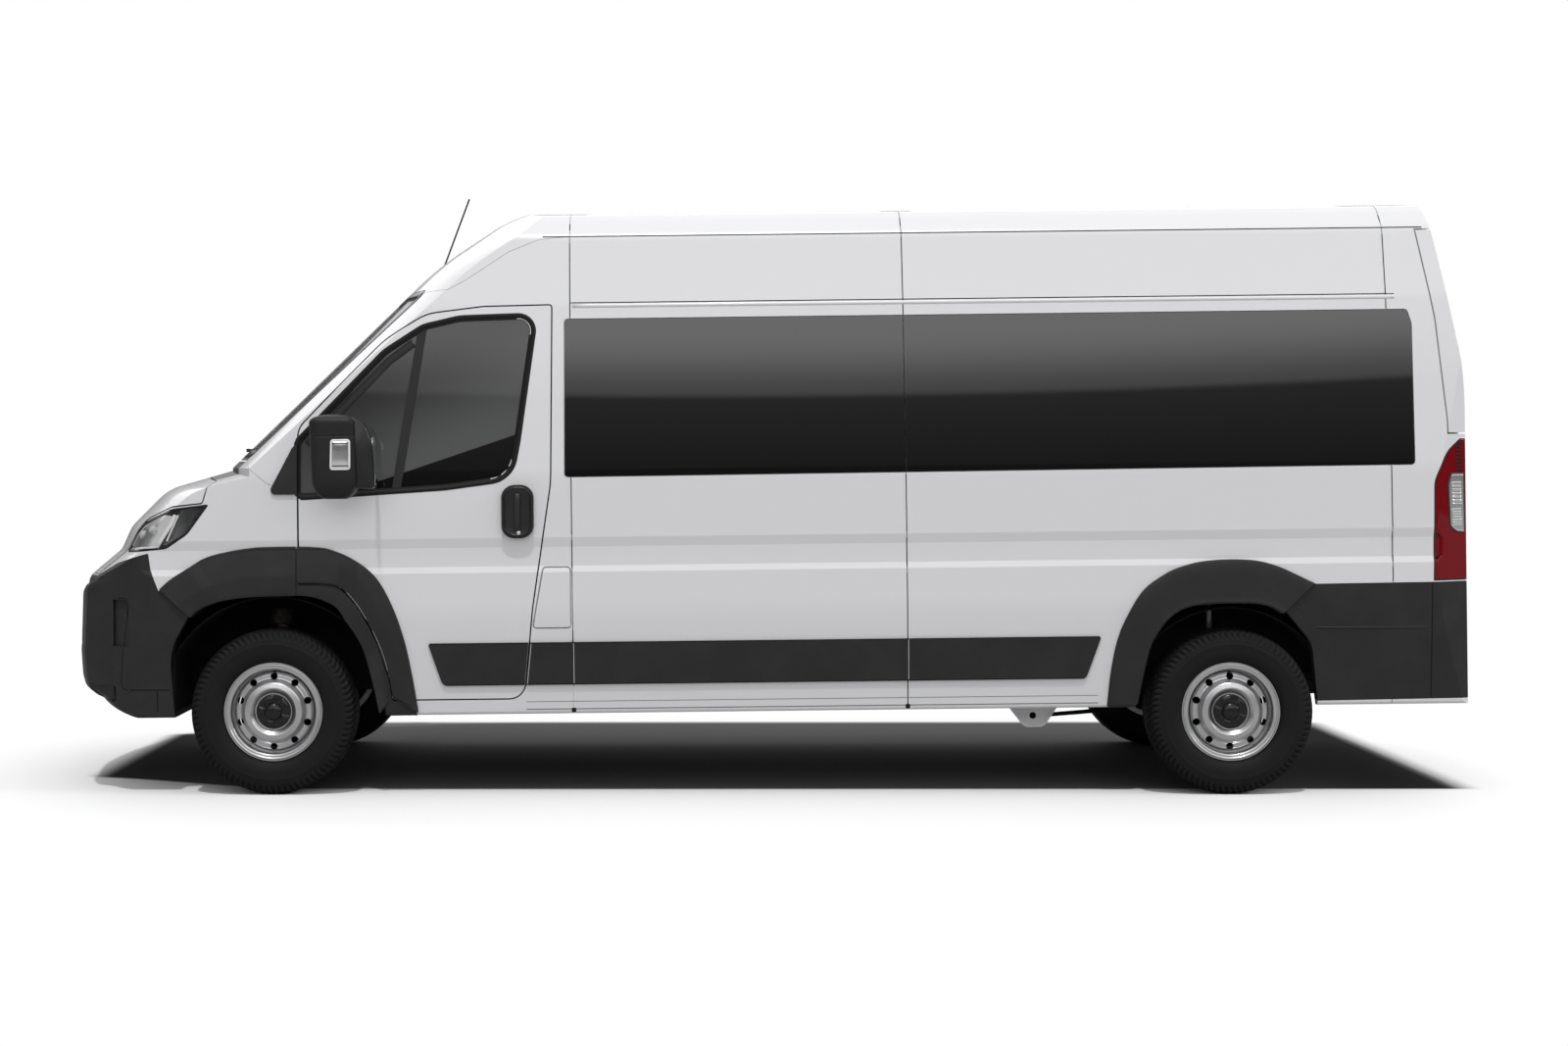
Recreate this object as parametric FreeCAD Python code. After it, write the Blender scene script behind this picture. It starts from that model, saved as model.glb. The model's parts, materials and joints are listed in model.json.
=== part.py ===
"""Long-wheelbase passenger minibus, built as separate panels, doors, glass, running gear and seats.

Millimetres. +X is the vehicle's left, +Y its rear, +Z up. The origin lies on the ground under the
middle of the vehicle. The body is drawn level and then raked nose-down about the front axle, as the
unladen vehicle stands; wheels, hubs and axles stand square to the ground.
"""
import FreeCAD, Part
import math
import os

V = FreeCAD.Vector

# ---- driving dimensions ---------------------------------------------------------------------
WHEELBASE = 4035.0
FRONT_AXLE_Y = -2051.0
REAR_AXLE_Y = FRONT_AXLE_Y + WHEELBASE
TYRE_RADIUS = 348.0
TYRE_WIDTH = 225.0
RIM_BEAD_RADIUS = 190.5
RIM_WIDTH = 152.0
BELLY = 0.454            # where the sidewall is widest, as a share of its height
SHOULDER = 0.771
BODY_HALF_WIDTH = 1015.0
TRACK_FRONT = 2 * (BODY_HALF_WIDTH - 110)
TRACK_REAR = 2 * (BODY_HALF_WIDTH - 120)
NOSE_Y = -2996.0
TAIL_Y = 2988.0
STEP_BACK_Y = TAIL_Y + 13.2     # the step is as far behind the origin as the nose is ahead of it
ROOF_Z = 2500.0
ROOF_SEAM_Z = ROOF_Z - 158
SILL_Z = 325.0
CAB_BACK_Y = -800.0     # ahead of this the roof falls to the windscreen
BONNET_PLAN_RADIUS = 2.36453 * BODY_HALF_WIDTH     # bow of the bonnet and bumper, seen from above
SCREEN_PLAN_RADIUS = 3.15271 * BODY_HALF_WIDTH
RAKE_DEG = 0.65

WALL = 50.0             # whole thickness of doors and body sides
SKIN = 15.0             # outer flange of a door, and the depth at which glass is bedded
GLASS = 5.0
TRIM_PROUD = 10.0       # plastic trims stand this far off the panels
DOOR_GAP = 6.0
DOOR_STEP = 12.0        # the inner part of a door is this much smaller all round than its skin
SEAM = 1.5              # half of the seam between two fixed panels

FLOOR_Z = 560.0
FLOOR_THICK = 30.0
CAB_FLOOR_Y = -1500.0    # ahead of this the floor is only as wide as the footwell
FOOTWELL_HALF = 550.0
FIREWALL_Y = -2240.0
FIREWALL_SHELF = 840.0    # above this it reaches over the wheel liners
FIREWALL_TOP = 1290.0
WHEEL_BOX_X = BODY_HALF_WIDTH - 275
RAIL_X = 510.0
RAIL_Z = 400.0
RAIL_FRONT_Y = -2780.0
TOW_EYE_LENGTH = 60.0
TOWBAR_PLATE = 12.0
TOWBAR_BORE = 6.5
TOWBAR_Y = (TAIL_Y - 308, TAIL_Y - 188)
TOWBAR_Z = 310.0
RACK_POINTS = (-500.0, 400.0, 1300.0, TAIL_Y - 788)      # y of the roof-rack threads on each side
RACK_X = BODY_HALF_WIDTH - 315
RACK_Z = ROOF_Z - 55
RACK_BORE = 4.0
RACK_DEPTH = 20.0
CUSHION_THICK = 130.0

FAR = 4500.0            # beyond the vehicle in any direction

# ---- outlines, as corners with the radius that rounds each one -------------------------------
# Cross-section, right half from the sill up: x, z, corner radius
SECTION_LOW = [
    (BODY_HALF_WIDTH - 43, SILL_Z, 15), (BODY_HALF_WIDTH, 760, 700), (BODY_HALF_WIDTH, 925, 15),
]
SWAGE = [
    (BODY_HALF_WIDTH - 8, 950, 12), (BODY_HALF_WIDTH - 9, 1030, 12), (BODY_HALF_WIDTH, 1070, 20),
]
SECTION_HIGH = [
    (BODY_HALF_WIDTH - 6, 1330, 700), (BODY_HALF_WIDTH - 71, 2050, 300),
    (BODY_HALF_WIDTH - 121, ROOF_Z - 158, 90), (BODY_HALF_WIDTH - 215, ROOF_Z - 60, 120),
]
ROOF_APEX = (0, ROOF_Z + 28, 5200)

COWL = (-2335, 1384)
# Centreline from the bumper's lower edge to the cowl, and up the windscreen: y, z, radius
BONNET_PROFILE = [
    (-2620, 300, 0), (-2890, 330, 160), (NOSE_Y + 10, 455, 60), (NOSE_Y, 640, 0),
    (NOSE_Y + 10, 905, 60), (-2845, 1022, 60), (-2800, 1122, 120), (-2640, 1282, 220),
    (COWL[0] + 60, COWL[1], 0),
]
SCREEN_PROFILE = [
    (COWL[0] - 10, 300, 0), (COWL[0] - 10, COWL[1] - 10, 0), (-1425, 2262, 1400), (-1065, ROOF_Z, 480),
]
# Back of the body: y, z, radius
TAIL_PROFILE = [
    (TAIL_Y, 300, 0), (TAIL_Y, 1700, 1500), (TAIL_Y - 108, ROOF_Z - 215, 300),
    (TAIL_Y - 150, ROOF_Z, 110),
]
# Plan view, right half from the nose: x, y, radius
PLAN_OUTLINE = [
    (BODY_HALF_WIDTH - 325, -3020, 250), (BODY_HALF_WIDTH - 3, -2650, 380),
    (BODY_HALF_WIDTH + 25, -2150, 0), (BODY_HALF_WIDTH + 25, TAIL_Y - 208, 0),
    (BODY_HALF_WIDTH - 9, TAIL_Y - 108, 110), (BODY_HALF_WIDTH - 60, TAIL_Y + 22, 40),
]

# Side view outlines: y, z, radius
DOOR = [
    (-1937, 884, 8), (-1937, 1540, 90), (-1580, 1912, 300), (-1390, 2022, 200), (-1150, 2050, 200),
    (-858, 2054, 15), (-868, 1300, 500), (-950, 770, 300), (-990, 387, 75), (-1550, 387, 10),
    (-1563, 480, 100), (-1640, 705, 150), (-1765, 882, 110),
]
DOOR_WINDOW = [
    (-1925, 1262, 10), (-1925, 1478, 20), (-1560, 1850, 200), (-1400, 1952, 100),
    (-1250, 1986, 150), (-945, 1994, 50), (-1022, 1470, 300), (-1050, 1330, 100), (-1320, 1296, 300),
]
WINDOW_BAR = [(-1545, 1240, 0), (-1418, 2010, 0), (-1381, 2010, 0), (-1508, 1240, 0)]
SIDE_GLASS = [
    (-812, 1324, 15), (-808, 1988, 15), (TAIL_Y - 238, 1990, 15), (TAIL_Y - 220, 1930, 60),
    (TAIL_Y - 226, 1337, 15),
]
FRONT_ARCH = [
    (-2460, 150, 0), (-2484, 610, 250), (-2352, 838, 150), (-1800, 842, 190), (-1610, 520, 350),
    (-1545, 150, 0),
]
FRONT_ARCH_TRIM = [
    (-2470, 150, 0), (-2560, 835, 40), (-2330, 1000, 250), (-2130, 1036, 450), (-1770, 1034, 300),
    (-1575, 870, 200), (-1500, 620, 400), (-1444, SILL_Z - 10, 0), (-1440, 150, 0),
]
REAR_ARCH = [
    (REAR_AXLE_Y - 444, 150, 0), (REAR_AXLE_Y - 344, 590, 150), (REAR_AXLE_Y - 222, 762, 120),
    (REAR_AXLE_Y + 198, 762, 110), (REAR_AXLE_Y + 341, 590, 150), (REAR_AXLE_Y + 386, 150, 0),
]
REAR_ARCH_TRIM = [
    (REAR_AXLE_Y - 519, SILL_Z, 0), (REAR_AXLE_Y - 484, 600, 300), (REAR_AXLE_Y - 364, 840, 200),
    (REAR_AXLE_Y - 134, 938, 350), (REAR_AXLE_Y + 106, 938, 350), (REAR_AXLE_Y + 352, 840, 0),
    (REAR_AXLE_Y + 216, 700, 0), (REAR_AXLE_Y + 216, SILL_Z, 0),
]
MOULDING = [
    (-1395, 629, 8), (-1335, 449, 30), (REAR_AXLE_Y - 612, 449, 25), (REAR_AXLE_Y - 547, 627, 8),
]
BONNET = [
    (-2290, 1460, 0), (-2298, 1346, 10), (-2334, 1226, 15), (-2470, 1212, 100), (-2614, 1158, 60),
    (-2704, 1026, 20), (-2830, 925, 0), (-3200, 895, 0), (-3200, 1460, 0),
]
HEADLAMP = [
    (-2700, 1020, 8), (-2622, 1152, 60), (-2466, 1208, 100), (-2306, 1226, 6), (-2400, 1098, 120),
    (-2490, 1038, 60),
]
BUMPER_TOP = [
    (-3200, 890, 0), (-2830, 922, 0), (-2717, 980, 150), (-2567, 1022, 6), (-2557, 951, 0),
    (-2523, 862, 4), (-2366, 760, 0), (-2366, 150, 0), (-3200, 150, 0),
]
REAR_BUMPER = [
    (REAR_AXLE_Y + 216, 716, 0), (REAR_AXLE_Y + 352, 839, 4), (TAIL_Y - 39, 842, 6),
    (TAIL_Y + 112, 842, 0), (TAIL_Y + 112, 350, 0), (REAR_AXLE_Y + 216, 342, 0),
]
FUEL_FLAP = [(-904, 942, 12), (-795, 942, 12), (-795, 692, 12), (-950, 692, 12)]
TAIL_LAMP = [
    (TAIL_Y - 154, 846, 3), (TAIL_Y - 146, 1266, 120), (TAIL_Y - 88, 1392, 150),
    (TAIL_Y - 23, 1445, 0), (TAIL_Y + 112, 1445, 0), (TAIL_Y + 112, 846, 0),
]
WING = [
    (-2300, 1360, 0), (-2298, 1460, 0), (-2181, 1408, 0), (-2066, 1310, 0), (-1937, 1262, 0),
    (-1937, 700, 0), (-2600, 700, 0), (-3200, 700, 0), (-3200, 1360, 0),
]
CAB_ROOF_EDGE = [
    (-2500, 2150, 0), (-1300, 2120, 0), (-1225, 2160, 60), (-1045, ROOF_SEAM_Z - 64, 100),
    (-917, ROOF_SEAM_Z - 12, 100), (-784, ROOF_SEAM_Z, 0), (-784, ROOF_Z + 200, 0),
    (-2500, ROOF_Z + 200, 0),
]
SIDE_SEAM_Y = (-785.0, 623.0, TAIL_Y - 324.0)
BONNET_BACK_Y = -2298.0
SCUTTLE_HALF = BODY_HALF_WIDTH - 225
COWL_HALF = BODY_HALF_WIDTH - 165     # where the bonnet gap reaches its rearmost point
SCREEN_LOW_X = BODY_HALF_WIDTH - 215
SCREEN_HIGH_X = BODY_HALF_WIDTH - 293
SCREEN = [               # x, z, radius
    (-SCREEN_LOW_X, 1404, 40), (SCREEN_LOW_X, 1404, 40), (SCREEN_HIGH_X, 2138, 70),
    (-SCREEN_HIGH_X, 2138, 70),
]
SCREEN_LEDGE = 30.0
WINDOW_LEDGE = 28.0
SIDE_OPENINGS = ((-745.0, 575.0), (675.0, TAIL_Y - 388))
OPENING_LOW = 1372.0
OPENING_HIGH = 1944.0
SLIDING_DOOR = [(-740, 430, 60), (560, 430, 60), (560, 2050, 60), (-740, 2050, 60)]
SLIDING_RAIL = [(640, 1246, 6), (TAIL_Y - 428, 1246, 6), (TAIL_Y - 428, 1276, 6), (640, 1276, 6)]
TAIL_LAMP_X = BODY_HALF_WIDTH - 130
TAIL_LAMP_TOP = 1462.0
GUTTER_Z = 2057.0
REAR_DOOR_LOW = 560.0
REAR_DOOR_HIGH = ROOF_Z - 164
REAR_DOOR_EDGE = [
    (TAIL_Y - 85, 500, 0), (TAIL_Y - 85, 1520, 300), (TAIL_Y - 122, 1950, 400),
    (TAIL_Y - 190, ROOF_Z - 155, 0), (TAIL_Y - 218, ROOF_Z + 100, 0), (TAIL_Y + 212, ROOF_Z + 100, 0),
    (TAIL_Y + 212, 500, 0),
]
REAR_WINDOW = [          # x, z, radius
    (110, 1340, 50), (TAIL_LAMP_X - 95, 1340, 50), (TAIL_LAMP_X - 115, 1985, 60), (110, 1985, 50),
]
GRILLE_OPENINGS = ((430, 700, 868, 25), (560, 392, 452, 15))    # half width, low, high, radius
GRILLE_DEPTH = 16.0
FOG_RECESS = [(-2815, 628, 12), (-2657, 628, 12), (-2657, 825, 12), (-2800, 825, 12)]
LOWER_SCOOP = [(-2822, 400, 10), (-2730, 396, 10), (-2738, 465, 10), (-2822, 465, 10)]
RECESS_DEPTH = 14.0
TOW_EYE = (-510.0, 424.0)            # x, z of the tow-eye socket
TOW_EYE_BORE = 9.0
TOW_EYE_ACCESS = 28.0                # hole through the lower grille in front of it
GRILLE_RIBS = (-450, -300, -150, 0, 150, 300, 450)
SLAT_PITCH = 28.0
SLAT_HEIGHT = 12.0
BONNET_THICK = 30.0
LAMP_GAP = 2.0          # between a lamp and the panels round it
LAMP_RIM = 5.0          # wall of the housing, showing round the lens
LENS = 4.0
FLAP_THICK = 8.0
HANDLE = [(-1078, 1068, 55), (-943, 1068, 55), (-943, 1292, 55), (-1078, 1292, 55)]
HANDLE_PROUD = 28.0
MIRROR_CORNER = [(-2060, 1262, 20), (-1925, 1262, 0), (-1925, 1480, 0), (-1955, 1462, 30)]
MIRROR_SIDE = [
    (-1842, 1272, 40), (-1842, 1500, 60), (-1812, 1590, 30), (-1680, 1590, 20), (-1632, 1560, 60),
    (-1585, 1450, 150), (-1580, 1290, 10), (-1655, 1282, 20), (-1680, 1240, 50), (-1800, 1240, 60),
]
MIRROR_IN = BODY_HALF_WIDTH + 45
MIRROR_OUT = MIRROR_IN + 200
MIRROR_FACE = [          # x, z, radius
    (MIRROR_IN + 18, 1240, 40), (MIRROR_OUT - 20, 1240, 60), (MIRROR_OUT - 8, 1560, 60),
    (MIRROR_IN + 30, 1592, 50),
]
MIRROR_PLAN = [          # x, y, radius
    (MIRROR_IN + 15, -1570, 6), (MIRROR_OUT - 8, -1570, 6), (MIRROR_OUT - 14, -1760, 90),
    (MIRROR_IN + 60, -1846, 90), (MIRROR_IN + 10, -1800, 30),
]
MIRROR_SPLIT_Z = 1503.0
MIRROR_WELL = 14.0       # depth of the recess that holds the mirror pane
MIRROR_ARM = ((1310, 1350), (1450, 1485))            # low, high of the two arms
MIRROR_LAMP = [(-1760, 1375, 8), (-1672, 1375, 8), (-1672, 1498, 8), (-1756, 1498, 8)]
LINER_THICK = 6.0
LINERS = (               # centre y, centre z, radius, inner x, lowest z
    (FRONT_AXLE_Y, TYRE_RADIUS, TYRE_RADIUS + 136, RAIL_X + 46, 400.0),
    (REAR_AXLE_Y, TYRE_RADIUS - 46, TYRE_RADIUS + 92, WHEEL_BOX_X + 5, 470.0),
)
KINGPIN_LOW = (TRACK_FRONT / 2 - 85, FRONT_AXLE_Y, 200.0)
KINGPIN_HIGH = (TRACK_FRONT / 2 - 205, FRONT_AXLE_Y, 900.0)
STRUT_LENGTH = 2 * TYRE_RADIUS - 126     # along the steering axis from its low end, ending below the wheel liner
SPRING_LOW = 2 * TYRE_RADIUS - 188       # above the tyre
SPRING_RADIUS = 50.0
STRUT_RADIUS = 26.0
STUB_RADIUS = 30.0
ARM_RADIUS = 16.0
HANGER_BORE = 9.0
LEAF_X = (TRACK_REAR / 2 - 295, TRACK_REAR / 2 - 225)
LEAF_Z = 392.0
LEAF_GAP = 2.0          # between the axle pad and the leaf, which the rake lifts
SPARE_CENTRE = (-120.0, REAR_AXLE_Y + 466, 300.0)
SPARE_RADIUS = 335.0
WHEEL_CORNERS = (        # name, side, axle y, track
    ("front_left", 1, FRONT_AXLE_Y, TRACK_FRONT), ("front_right", -1, FRONT_AXLE_Y, TRACK_FRONT),
    ("rear_left", 1, REAR_AXLE_Y, TRACK_REAR), ("rear_right", -1, REAR_AXLE_Y, TRACK_REAR),
)
VENTS = 10
VENT_CIRCLE = 148.0
VENT_RADIUS = 15.0
# Wheel sections about the axle: x outwards, radius from the axle, corner radius
WHEEL_SECTION = [
    (-84, 207, 0), (-78, 207, 0), (-78, 186, 6), (-40, 184, 10), (-20, 168, 15), (30, 168, 15),
    (48, 184, 10), (78, 186, 6), (78, 207, 0), (84, 207, 0), (84, 180, 6), (50, 178, 10),
    (32, 162, 15), (-22, 162, 15), (-42, 178, 10), (-84, 180, 6),
]
DISC_SECTION = [
    (40, 165, 0), (58, 158, 6), (60, 138, 8), (84, 120, 10), (88, 98, 8), (70, 78, 4), (68, 36, 0),
    (62, 36, 0), (64, 80, 4), (82, 98, 6), (78, 118, 8), (54, 134, 8), (52, 156, 6), (34, 163, 0),
]
DISC_FACE = 76.0         # outer face of the hub, from the middle of the wheel
SEAT_WIDTH = 430.0
SEAT_OUT_X = BODY_HALF_WIDTH - 135
SEAT_PAIR = (            # x from, x to: two seats left of the aisle
    (SEAT_OUT_X - SEAT_WIDTH, SEAT_OUT_X), (SEAT_OUT_X - 2 * SEAT_WIDTH - 10, SEAT_OUT_X - SEAT_WIDTH - 10),
)
SEAT_SINGLE = ((-SEAT_OUT_X, SEAT_WIDTH - SEAT_OUT_X),)     # one seat right of it
SEAT_MIDDLE = ((SEAT_SINGLE[0][1] + 20, SEAT_PAIR[1][0] - 20),)
SEAT_ROWS = (                                      # y of the seat backs, places across
    (-250.0, SEAT_PAIR), (510.0, SEAT_PAIR), (1270.0, SEAT_PAIR + SEAT_SINGLE),
    (2030.0, SEAT_PAIR + SEAT_SINGLE), (TAIL_Y - 198, SEAT_PAIR + SEAT_SINGLE + SEAT_MIDDLE),
)
CAB_SEAT_Y = -1000.0
CAB_SEATS = (
    (BODY_HALF_WIDTH - 755, BODY_HALF_WIDTH - 255), (-330, 130),
    (225 - BODY_HALF_WIDTH, 675 - BODY_HALF_WIDTH),
)
SEAT_DEPTH = 480.0
CUSHION_Z = 300.0        # underside of the cushion above the floor
SHOULDER_Z = 960.0
HEADREST_Z = 1150.0
PLINTH_REACH = WHEEL_BOX_X - 20     # seat plinths stay inside the wheel boxes
ANTENNA_Y = -1405.0
ANTENNA_Z = 2280.0
ANTENNA_RADIUS = 4.0
ANTENNA_LENGTH = 338.0
ANTENNA_LEAN = 21.0
DASHBOARD = [(-2150, 1190, 30), (-1880, 1270, 60), (-1700, 1180, 60), (-1680, 960, 40),
             (-1900, 860, 0), (-2150, 860, 0)]
DASHBOARD_HALF = BODY_HALF_WIDTH - 175
WIPER_Y = -2270.0        # where the blades' height meets the glass on the centreline
WHEEL_CENTRE = (BODY_HALF_WIDTH - 515, -1560.0, 1180.0)
STEERING_RADIUS = 190.0
STEERING_TILT = 32.0


# ---- drawing helpers --------------------------------------------------------------------------
def on_plane(plane, level, a, b):
    """A point of a flat outline: side is (y, z), plan is (x, y) and front is (x, z)."""
    if plane == "side":
        return V(level, a, b)
    if plane == "plan":
        return V(a, b, level)
    return V(a, level, b)


def drawn_in(corners, inset):
    """The same outline moved inwards by inset, its corner radii following (outwards if negative)."""
    area = sum(p[0] * q[1] - q[0] * p[1] for p, q in zip(corners, corners[1:] + corners[:1]))
    inward = 1.0 if area > 0 else -1.0
    moved = []
    for i, (a, b, radius) in enumerate(corners):
        before = corners[i - 1]
        after = corners[(i + 1) % len(corners)]
        back = V(a - before[0], b - before[1], 0).normalize()
        ahead = V(after[0] - a, after[1] - b, 0).normalize()
        normal_back = V(-back.y, back.x, 0) * inward
        normal_ahead = V(-ahead.y, ahead.x, 0) * inward
        mitre = (normal_back + normal_ahead) * (inset / (1.0 + normal_back.dot(normal_ahead)))
        convex = back.cross(ahead).z * inward > 0
        grown = radius - inset if convex else radius + inset
        moved.append((a + mitre.x, b + mitre.y, max(grown, 0.0) if radius else 0))
    return moved


def rounded_face(corners, plane, level, inset=0.0):
    """Flat face inside a closed outline whose corners are rounded by arcs, drawn in by inset."""
    if inset:
        corners = drawn_in(corners, inset)
    flat = [V(c[0], c[1], 0) for c in corners]
    stations = []
    for i, corner in enumerate(flat):
        radius = corners[i][2]
        if radius == 0:
            stations.append((corner, corner, corner))
            continue
        back = (flat[i - 1] - corner).normalize()
        ahead = (flat[(i + 1) % len(flat)] - corner).normalize()
        half = back.getAngle(ahead) / 2
        middle = (back + ahead).normalize()
        reach = radius / math.tan(half)
        crown = corner + middle * (radius / math.sin(half) - radius)
        stations.append((corner + back * reach, crown, corner + ahead * reach))
    placed = [[on_plane(plane, level, p.x, p.y) for p in s] for s in stations]
    edges = []
    for i, (start, crown, end) in enumerate(placed):
        before = placed[i - 1][2]
        if (start - before).Length > 1e-6:
            edges.append(Part.makeLine(before, start))
        if (start - end).Length > 1e-6:
            edges.append(Part.Arc(start, crown, end).toShape())
    return Part.Face(Part.Wire(edges))


def prism(corners, plane, low, high, inset=0.0):
    """The outline carried along its plane's normal from low to high."""
    normal = {"side": V(1, 0, 0), "plan": V(0, 0, 1), "front": V(0, 1, 0)}[plane]
    return rounded_face(corners, plane, low, inset).extrude(normal * (high - low))


def block(x0, x1, y0, y1, z0, z1):
    return Part.makeBox(x1 - x0, y1 - y0, z1 - z0, V(x0, y0, z0))


def mirrored(shape):
    return shape.mirror(V(0, 0, 0), V(1, 0, 0))


def both_sides(shape):
    return Part.makeCompound([shape, mirrored(shape)])


def joined(shapes):
    return shapes[0].multiFuse(shapes[1:]) if len(shapes) > 1 else shapes[0]


def tube(points, radius, bore=0.0):
    """Straight round bars from point to point with balls at the bends."""
    pieces = []
    for start, end in zip(points, points[1:]):
        way = end - start
        pieces.append(Part.makeCylinder(radius, way.Length, start, way))
    for bend in points[1:-1]:
        pieces.append(Part.makeSphere(radius, bend))
    return joined(pieces)


def cylinder_x(x0, x1, radius, y, z):
    return Part.makeCylinder(radius, x1 - x0, V(x0, y, z), V(1, 0, 0))


def raked(shape):
    """Tip a body piece nose-down about the front axle."""
    tipped = shape.copy()
    tipped.rotate(V(0, FRONT_AXLE_Y, TYRE_RADIUS), V(1, 0, 0), RAKE_DEG)
    return tipped


def export(name, shape):
    solids = shape.Solids
    if not solids:
        raise ValueError("nothing was built for " + name)
    whole = solids[0] if len(solids) == 1 else Part.makeCompound(solids)
    whole.exportStep("parts/" + name + ".step")


# ---- body envelope ----------------------------------------------------------------------------
def section_solid(inset):
    middle = SWAGE if inset <= 0 else []
    half = SECTION_LOW + middle + SECTION_HIGH
    corners = half + [ROOF_APEX] + [(-x, z, r) for x, z, r in reversed(half)]
    return prism(corners, "front", -FAR, FAR, inset)


def swung(profile, plan_radius, inset, low, high):
    """A centreline profile swung about an upright axis plan_radius behind the nose."""
    axis_y = NOSE_Y + plan_radius
    corners = profile + [(axis_y + inset, high, 0), (axis_y + inset, low, 0)]
    face = rounded_face(corners, "side", 0.0, inset)
    face.rotate(V(0, axis_y, 0), V(0, 0, 1), -90)
    return face.revolve(V(0, axis_y, 0), V(0, 0, 1), 180)


def nose_solid(inset):
    """Bonnet and bumper bowed tightly in plan, joined to the flatter windscreen and roof front."""
    bonnet = swung(BONNET_PROFILE, BONNET_PLAN_RADIUS, inset, 300, COWL[1])
    cab = swung(SCREEN_PROFILE, SCREEN_PLAN_RADIUS, inset, 300, ROOF_Z)
    return bonnet.fuse(cab)


def tail_solid(inset):
    corners = [(-1500, 300, 0)] + TAIL_PROFILE + [(-1500, ROOF_Z, 0)]
    return prism(corners, "side", -FAR, FAR, inset)


def plan_solid(inset):
    half = PLAN_OUTLINE
    corners = [(0, -3200, 0)] + half + [(0, TAIL_Y + 42, 0)] + [(-x, y, r) for x, y, r in reversed(half)]
    return prism(corners, "plan", 0, FAR, inset)


def envelope(inset):
    """The closed outer form of the body, drawn in (or out, when negative) by inset."""
    block_form = section_solid(inset).common(plan_solid(inset))
    ahead = block(-FAR, FAR, -FAR, CAB_BACK_Y, -FAR, FAR)
    behind = block(-FAR, FAR, CAB_BACK_Y, FAR, -FAR, FAR)
    front = block_form.common(nose_solid(inset)).common(ahead)
    rear = block_form.common(tail_solid(inset)).common(behind)
    return front.fuse(rear)


# ---- zones that the panels are cut by ---------------------------------------------------------
def side_zone(corners, inset=0.0, low=0.0):
    """The outline seen from the side, reaching outwards from x = low on the left."""
    return prism(corners, "side", low, FAR, inset)


def across_zone(corners, inset=0.0):
    return prism(corners, "side", -FAR, FAR, inset)


def bonnet_zone(inset=0.0):
    """Above the headlamp line, and ahead of a curve that follows the foot of the windscreen."""
    radius = math.hypot(COWL_HALF, NOSE_Y + SCREEN_PLAN_RADIUS - BONNET_BACK_Y) + inset
    behind = Part.makeCylinder(radius, FAR, V(0, NOSE_Y + SCREEN_PLAN_RADIUS, 0))
    return across_zone(BONNET, inset).cut(behind)


def screen_zone(inset=0.0):
    return prism(SCREEN, "front", -FAR, -1000, inset)


def scuttle_zone(inset=0.0):
    """The trough between the bonnet's back edge and the windscreen."""
    middle = V(0, NOSE_Y + SCREEN_PLAN_RADIUS, 0)
    radius = math.hypot(COWL_HALF, middle.y - BONNET_BACK_Y) - inset
    outer = Part.makeCylinder(radius, FAR, middle)
    strip = block(-SCUTTLE_HALF + inset, SCUTTLE_HALF - inset, -FAR, -2150, 1290, SCREEN[0][1] - inset)
    return strip.common(outer)


def lamp_zone(inset=0.0):
    half = side_zone(HEADLAMP, inset, 480.0)
    return half.fuse(mirrored(half))


def tail_lamp_zone(inset=0.0):
    half = side_zone(TAIL_LAMP, inset, TAIL_LAMP_X + inset)
    return half.fuse(mirrored(half))


def rear_door_zone(side, inset=0.0):
    """Left (side = 1) or right rear door: it wraps round the corner above the tail lamp."""
    face_on = [
        (0, REAR_DOOR_LOW, 0), (TAIL_LAMP_X - 12, REAR_DOOR_LOW, 0),
        (TAIL_LAMP_X - 12, TAIL_LAMP_TOP, 0), (BODY_HALF_WIDTH + 60, TAIL_LAMP_TOP, 0),
        (BODY_HALF_WIDTH + 60, REAR_DOOR_HIGH, 0), (0, REAR_DOOR_HIGH, 0),
    ]
    zone = prism(face_on, "front", TAIL_Y - 388, FAR, inset).common(across_zone(REAR_DOOR_EDGE, inset))
    return zone if side > 0 else mirrored(zone)


def sliding_zone(inset=0.0):
    return mirrored(side_zone(SLIDING_DOOR, inset, 600.0))


# ---- body layers ------------------------------------------------------------------------------
OUTER = envelope(0)
HOLLOW_HALF = BODY_HALF_WIDTH - 90
INNER = envelope(WALL).fuse(block(-HOLLOW_HALF, HOLLOW_HALF, -2300, TAIL_Y - 98, 0, 420)).fuse(
    block(-560, 560, -2860, -2200, 0, 420))
BEDDED = envelope(SKIN)
SHELL = OUTER.cut(INNER)
SKIN_LAYER = OUTER.cut(BEDDED)
WALL_LAYER = BEDDED.cut(INNER)
UNDER_GLASS = envelope(GLASS)
FLUSH_GLASS = OUTER.cut(UNDER_GLASS)
SET_GLASS = UNDER_GLASS.cut(envelope(2 * GLASS))
TRIM_LAYER = envelope(-TRIM_PROUD).cut(OUTER).cut(block(-FAR, FAR, -FAR, FAR, 0, SILL_Z))
RECESS_FLOOR = envelope(RECESS_DEPTH)
LAMP_FLOOR = envelope(WALL - LAMP_RIM)
UNDER_LENS = envelope(LENS)


def cut_all(shape, tools):
    for tool in tools:
        shape = shape.cut(tool)
    return shape


def hollow_panel(zone, windows=(), ledge=0.0, plane="side"):
    """A door: its skin, and a smaller inner part, each with its windows cut."""
    skin = SKIN_LAYER.common(zone(DOOR_GAP))
    inner = WALL_LAYER.common(zone(DOOR_GAP + DOOR_STEP))
    for outline, low, high in windows:
        skin = skin.cut(prism(outline, plane, low, high))
        inner = inner.cut(prism(outline, plane, low, high, ledge))
    return skin.fuse(inner)


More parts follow.
